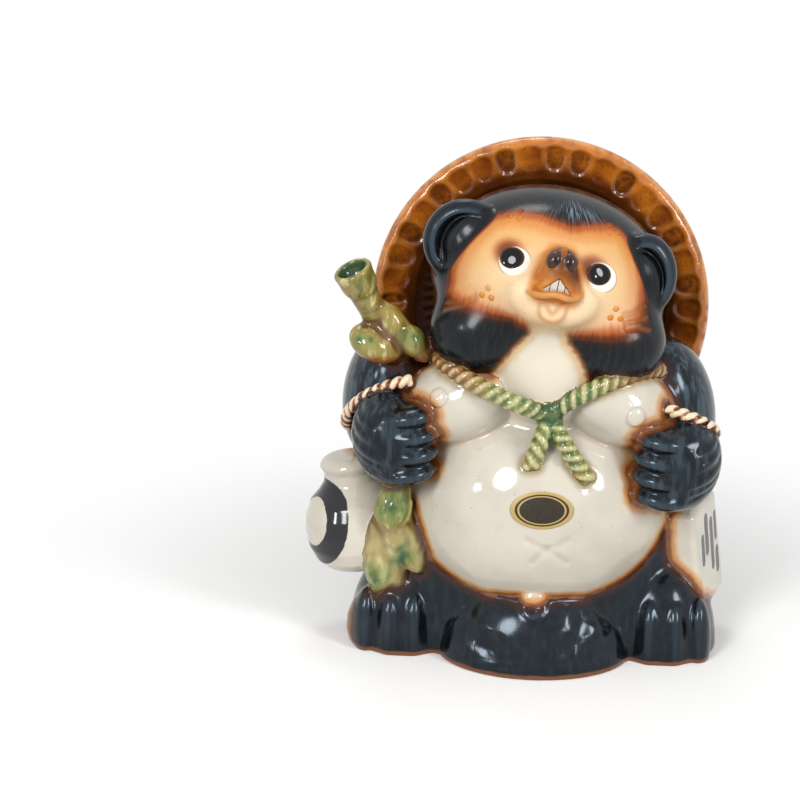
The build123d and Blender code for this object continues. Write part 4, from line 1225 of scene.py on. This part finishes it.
def makePiece(node, at, faces, normal, marks, material):
    # A mesh in the frame, from millimetres about the foot
    mesh = bpy.data.meshes.new("clay." + node)
    mesh.vertices.add(len(at))
    mesh.vertices.foreach_set("co", inFrame(at).ravel())
    mesh.loops.add(faces.size)
    mesh.loops.foreach_set("vertex_index", faces.astype(np.int32).ravel())
    mesh.polygons.add(len(faces))
    mesh.polygons.foreach_set("loop_start", np.arange(0, faces.size, faces.shape[1], dtype=np.int32))
    mesh.polygons.foreach_set("use_smooth", np.ones(len(faces), bool))
    mesh.update(calc_edges=True)
    mesh.normals_split_custom_set_from_vertices(normal.astype(np.float32))
    dress(mesh, marks, material, node)


def shellFrom(faces):
    # The skin of one piece, closed with a wall of clay behind it
    used, inverse = np.unique(faces, return_inverse=True)
    outer = inverse.reshape(faces.shape)
    edges = np.stack([outer, np.roll(outer, -1, axis=1)], axis=2).reshape(-1, 2)
    count = len(used)
    codes = edges[:, 0] * count + edges[:, 1]
    back = edges[:, 1] * count + edges[:, 0]
    rim = edges[~np.isin(codes, back)]
    walls = np.stack([rim[:, 1], rim[:, 0], rim[:, 0] + count, rim[:, 1] + count], axis=1)
    inner = outer[:, ::-1] + count
    return used, np.vstack([outer, inner, walls])


for number in np.unique(faceOwner):
    name = pieceNames[number]
    kind = next(k for k in glazes if name in glazes[k])
    look = "face" if name in headPieces else kind
    used, faces = shellFrom(quads[faceOwner == number])
    wall = clay["ropeWall"] if kind in ("green", "cuff") else clay["wall"]
    at = np.vstack([skin[used], skin[used] - normals[used] * wall])
    both = np.vstack([normals[used], -normals[used]])
    marks = {key: np.tile(skinMarks[key][used], 2) for key in marksOf[look]}
    makePiece(name, at, faces, both, marks, materials[look])
print("skin pieces made:", len(np.unique(faceOwner)))


def fineForm(distance, low, high, step):
    # A small closed form from its own finer sampling
    low = np.array(low, np.float32)
    count = np.ceil((np.array(high) - low) / step).astype(int) + 1
    x, y, z = ((low[i] + step * np.arange(count[i])).astype(np.float32) for i in range(3))
    values = distance(x[:, None, None], y[None, :, None], z[None, None, :]).astype(np.float32)
    at, faces, normal = skinOf(values)
    return low + step * at, faces, normal


# White slip under clear glaze: glossy, browned at its rim by the wash around it
slipLook = {"Roughness": 0.1, "IOR": 1.5}


def whiteSlip(name, bright, dull):
    material, add, where, marks, noise = startGlaze(name, "rim", (1.2, 2))
    colour = add("ValToRGB", {0: marks["rim"]}, stops=(
        (0.0, bright), (0.8, bright), (0.93, "#a9724a"), (1.0, "#6b3a1c")))
    colour = add("Mix", {0: add("Math", {0: noise[1.2], 1: 0.2}), 6: colour, 7: dull})
    fireGlaze(add, slipLook, colour, noise[2], 0.0001, 0.2)
    return material


# Black enamel, painted on thick: almost a mirror, brown where it thins at the rim
enamelLook = {"Roughness": 0.05, "IOR": 1.5, "Specular IOR Level": 0.3}


def blackEnamel():
    material, add, where, marks, noise = startGlaze("blackEnamelPainted", "rim", (1.0, 2))
    colour = add("ValToRGB", {0: marks["rim"]}, stops=(
        (0.0, "#050505"), (0.78, "#0a0807"), (0.9, "#3a1d0f"), (1.0, "#6a3a1e")))
    colour = add("Mix", {0: add("Math", {0: noise[1.0], 1: 0.2}), 6: colour, 7: "#111214"})
    fireGlaze(add, enamelLook, colour, noise[2], 0.0001, 0.15)
    return material


# Eyes: white domes, and pupils that stand a little prouder
whiteMaterial = whiteSlip("whiteSlipGlazed", "#ece7df", "#cfc4b4")
blackMaterial = blackEnamel()
for name, side in sides.items():
    spot = spotOn(head, side * face["eyeAzimuth"], face["eyeRise"])
    offset = (face["eye"] - face["pupil"]) / 2 - face["eyeRim"]
    way = math.radians(face["glance"])
    glance = (offset * math.cos(way), offset * math.sin(way))
    ball = eggIn(spot, (0, 0, -0.9), (face["eye"] + 0.6, face["eye"] - 0.8, 2 * face["eyeDome"] + 0.6))
    lens = eggIn(spot, (*glance, -0.6), (face["pupil"] + 4.2, face["pupil"] + 2.6, 4.2))

    def pupilDistance(x, y, z):
        px, py, pz = local(spot, x, y, z)
        disc = np.hypot((px - glance[0]) / 1.17, py - glance[1]) - face["pupil"] / 2
        return -softMin(-eggDistance(lens)(x, y, z), np.minimum(-disc, pz + 2.0), 0.4)

    low, high = eggReach(ball)
    for kind, form, middle, size, material, slot in (
        ("eye_white_", eggDistance(ball), (0, 0), face["eye"], whiteMaterial, "white_glaze"),
        ("pupil_", pupilDistance, glance, face["pupil"], blackMaterial, "black_glaze"),
    ):
        at, faces, normal = fineForm(form, low - 1.5, high + 1.5, 0.22)
        lx, ly, lz = local(spot, *at.T)
        rim = np.hypot((lx - middle[0]) / 1.1, ly - middle[1]) / (size / 2)
        makePiece(kind + name, at, faces, normal, {"rim": rim}, material)


# Iron-brown glaze, dipped thick: near black in the nostrils, rust where the ridge thins it
noseLook = {"Roughness": 0.08, "IOR": 1.53, "Specular IOR Level": 0.35}


def noseGlaze():
    material, add = newMaterial("ironBrownGlazeNose")
    where = add("TexCoord")
    noise = add("TexNoise", {"Vector": where, "Scale": mm / 3})
    base = lay(add, "#2c1611", "#4a2618", noise, 0.35, 0.7)
    base = lay(add, base, "#0d0605", add("Attribute", attribute_name="nostril"), 0.3, 0.8)
    colour = lay(add, base, "#8a4c24", add("Attribute", attribute_name="ridge"), 0.4, 0.9)
    fireGlaze(add, noseLook, colour, noise, 0.0001, 0.2)
    return material


# Nose: a cap with two lobes, and a ridge between them
nose = {"at": (0, 5.2, 8.0), "cap": (13.4, 10.4, 8.2), "lobe": (6.6, 8.0, 7.0), "lobeAt": (3.1, -0.4, 1.6)}
nosePlace = inside(muzzlePlace, nose["at"])
noseCap = eggIn(nosePlace, (0, 0, 0), nose["cap"])
lobeX, lobeY, lobeZ = nose["lobeAt"]
noseLobes = []
for side in sides.values():
    noseLobes.append(eggIn(nosePlace, (side * lobeX, lobeY, lobeZ), nose["lobe"], (0, 0, side * 12)))


def noseDistance(x, y, z):
    d = eggDistance(noseCap)(x, y, z)
    for lobe in noseLobes:
        d = softMin(d, eggDistance(lobe)(x, y, z), 0.5)
    return d


low, high = eggReach(noseCap)
at, faces, normal = fineForm(noseDistance, low - 1.5, high + 1.5, 0.25)
lx, ly, lz = local(nosePlace, *at.T)
nostril = np.zeros(len(at))
for side in sides.values():
    nostril += np.exp(-(((lx - side * 2.6) / 1.5) ** 2 + ((ly + 0.6) / 2.2) ** 2)) * (lz > 0)
ridge = np.exp(-(lx / 0.7) ** 2) * step01(-ly, -0.5, 2.5)
makePiece("nose", at, faces, normal, {"ridge": ridge, "nostril": nostril}, noseGlaze())


# Teeth: a row of white slip behind the lip, parted by three gaps
def toothDistance(x, y, z):
    px, py, pz = local(muzzlePlace, x, y, z)
    gaps = 0.16 - np.minimum(np.minimum(np.abs(px + 3.1), np.abs(px)), np.abs(px - 3.1))
    d = np.maximum(muzzleDistance(x, y, z) + 0.35, np.abs(px) * 0.66 + (py + 2.4) * 0.75 + 0.15)
    return np.maximum(np.maximum(d, gaps), np.maximum(-8.3 - py, 6.0 - pz))


at, faces, normal = fineForm(toothDistance, muzzlePlace["at"] - 12, muzzlePlace["at"] + 12, 0.22)
toothMaterial = whiteSlip("greyWhiteSlipTeeth", "#c9c2b6", "#8f8474")
makePiece("teeth", at, faces, normal, {"rim": np.zeros(len(at))}, toothMaterial)

# Whisker spots: small raised dots on brow and cheek
spots = {
    "groups": ((-35.6, 47.8), (36.2, 49.6), (-31.1, -3.4), (31.0, -1.8)), "turns": (90, 210, 330),
    "size": (2.8, 2.8, 1.3), "spacing": 5.0,
}
parts = []
for azimuth, rise in spots["groups"]:
    middle = spotOn(head, azimuth, rise)
    for turn in spots["turns"]:
        a = math.radians(turn)
        out = spots["spacing"] / 2
        here = inside(middle, (out * math.cos(a), out * math.sin(a), 0))
        here["at"] = onSkin([here["at"]], here["axes"][:, 2])[0]
        form = eggIn(here, (0, 0, 0), spots["size"])
        low, high = eggReach(form)
        parts.append(fineForm(eggDistance(form), low - 1, high + 1, 0.2))
counts = np.cumsum([0] + [len(part[0]) for part in parts])
at = np.vstack([part[0] for part in parts])
faces = np.vstack([part[1] + count for part, count in zip(parts, counts)])
normal = np.vstack([part[2] for part in parts])
azimuths, rises = headAngles(at)
marks = {key: np.zeros(len(at)) for key in marksOf["face"]}
marks.update(faceMask=paintDepth(at, facePaint["outline"], facePaint["span"]), hairAz=azimuths / 90,
             hairRise=rises / 90, relief=np.full(len(at), 0.7), darkEdge=np.ones(len(at)))
makePiece("whisker_spots", at, faces, normal, marks, materials["face"])


# Foil sticker, printed black on gold: a soft metal sheen under the ink
foilLook = {"Roughness": 0.38, "Metallic": 0.25}


def foilLabel():
    material, add, where, marks, noise = startGlaze("printedFoilSticker", "oval", (1.5, 0.8))
    ink = add("ValToRGB", {0: marks["oval"]}, blend="LINEAR", stops=(
        (0.0, "#0c0a09"), (0.7, "#0c0a09"), (0.72, "#b89a5c"), (0.76, "#b89a5c"), (0.78, "#0c0a09")))
    colour = lay(add, ink, "#b39a62", marks["oval"], 0.845, 0.86)
    colour = add("Mix", {0: add("Math", {0: noise[1.5], 1: 0.15}), 6: colour, 7: "#8a7446"})
    fireGlaze(add, foilLook, colour, noise[0.8], 0.00005, 0.2)
    return material


# Label: an oval sticker lying on the belly
label = {
    "wide": 27.0, "tall": 16.0, "thick": 0.3, "sunk": 0.4, "azimuth": 2.6, "rise": 12.7,
    "rings": 24, "around": 96,
}
labelPlace = spotOn(belly, label["azimuth"], label["rise"])
around = label["around"]
angles = np.arange(around) * 2 * math.pi / around
oval = np.concatenate([[0.0], np.repeat(np.arange(1, label["rings"] + 1) / label["rings"], around)])
turns = np.concatenate([[0.0], np.tile(angles, label["rings"])])
flatX = oval * np.cos(turns) * label["wide"] / 2
flatY = oval * np.sin(turns) * label["tall"] / 2
at = labelPlace["at"] + flatX[:, None] * labelPlace["axes"][:, 0] + flatY[:, None] * labelPlace["axes"][:, 1]
at = onSkin(at, labelPlace["axes"][:, 2], 14)
normal = (at - belly["place"]["at"]) / belly["radii"] ** 2
normal /= np.linalg.norm(normal, axis=1)[:, None]
count = len(at)
last = count - around  # first point of the outer ring
top, walls = [], []
for a in range(around):
    b = (a + 1) % around
    top.append((0, 1 + a, 1 + b))
    for start in range(1, last, around):
        top.append((start + a, start + around + a, start + around + b, start + b))
    walls.append((last + b, last + a, last + a + count, last + b + count))
under = [tuple(v + count for v in reversed(corners)) for corners in top]
mesh = bpy.data.meshes.new("clay.label")
sheet = np.vstack([at + normal * label["thick"], at - normal * label["sunk"]])
mesh.from_pydata(inFrame(sheet).tolist(), [], top + under + walls)
mesh.polygons.foreach_set("use_smooth", np.ones(len(mesh.polygons), bool))
dress(mesh, {"oval": np.tile(oval, 2)}, foilLabel(), "label")
print("small pieces made")

# Floor, lamps and camera
studio = {
    "lens": 76.5, "camera": (2.32, -732.38, 339.42), "azimuth": 5.0, "pitch": 17.5, "sky": 0.5,
    "aim": (0, 0, 0.11), "floorFade": (0.1, 0.3),
    "lamps": (((-0.45, -0.9, 0.68), (0.34, 0.44), 7.5), ((0.75, -0.6, 0.6), (0.24, 0.42), 5.0),
              ((-0.1, 0.35, 1.1), (0.4, 0.2), 1.5), ((-0.66, -0.62, 0.36), (0.08, 0.1), 0.7),
              ((0.6, -0.75, 0.42), (0.07, 0.12), 0.6)),
}
scene = bpy.context.scene
scene.view_settings.view_transform = "Standard"
world = bpy.data.worlds.new("studioSky")
scene.world = world
world.use_nodes = True
world.node_tree.nodes.clear()
add = partial(addNode, world.node_tree)
white = add("LightPath", out="Is Camera Ray")
rays = white.node.outputs
for ray in ("Is Glossy Ray", "Is Transmission Ray"):
    white = add("Math", {0: white, 1: rays[ray]}, operation="MAXIMUM")
sky = add("Background", {"Color": "#ffffff", "Strength": studio["sky"]})
backdrop = add("Background", {"Color": "#ffffff", "Strength": 1.0})
add("OutputWorld", {0: add("MixShader", {0: white, 1: sky, 2: backdrop})})

# White paper sweep, matt, that clears away from the figure so that only its shadow is left
bpy.ops.mesh.primitive_plane_add(size=4.0, location=(0, 0, -0.0002))
floor = bpy.context.object
floor.name = "floor"
floorMaterial, add = newMaterial("whitePaperSweep")
where = add("TexCoord")
fibre = add("TexNoise", {"Vector": where, "Scale": mm / 2})
tone = add("Mix", {0: fibre, 6: "#f8f8f7", 7: "#f4f4f3"})
paper = add("BsdfPrincipled", {"Base Color": tone, "Roughness": 0.9, "Specular IOR Level": 0.0})
away = add("VectorMath", {0: where}, out="Value", operation="LENGTH")
fade = add("MapRange", {0: away, 1: studio["floorFade"][0], 2: studio["floorFade"][1]})
add("OutputMaterial", {0: add("MixShader", {0: fade, 1: paper, 2: add("BsdfTransparent")})})
floor.data.materials.append(floorMaterial)

for number, (at, size, power) in enumerate(studio["lamps"]):
    lamp = bpy.data.lights.new("softbox%d" % number, "AREA")
    lamp.shape = "ELLIPSE"
    lamp.size, lamp.size_y = size
    lamp.energy = power
    lampObject = bpy.data.objects.new(lamp.name, lamp)
    scene.collection.objects.link(lampObject)
    lampObject.location = at
    way = Vector(studio["aim"]) - lampObject.location
    lampObject.rotation_euler = way.to_track_quat("-Z", "Y").to_euler()

cameraData = bpy.data.cameras.new("camera")
cameraData.lens = studio["lens"]
cameraData.sensor_width = 36.0
cameraObject = bpy.data.objects.new("camera", cameraData)
scene.collection.objects.link(cameraObject)
cameraObject.location = (np.array(studio["camera"]) + np.array(clay["shift"])) * 0.001
cameraObject.rotation_euler = (math.radians(90 - studio["pitch"]), 0, math.radians(studio["azimuth"]))
scene.camera = cameraObject
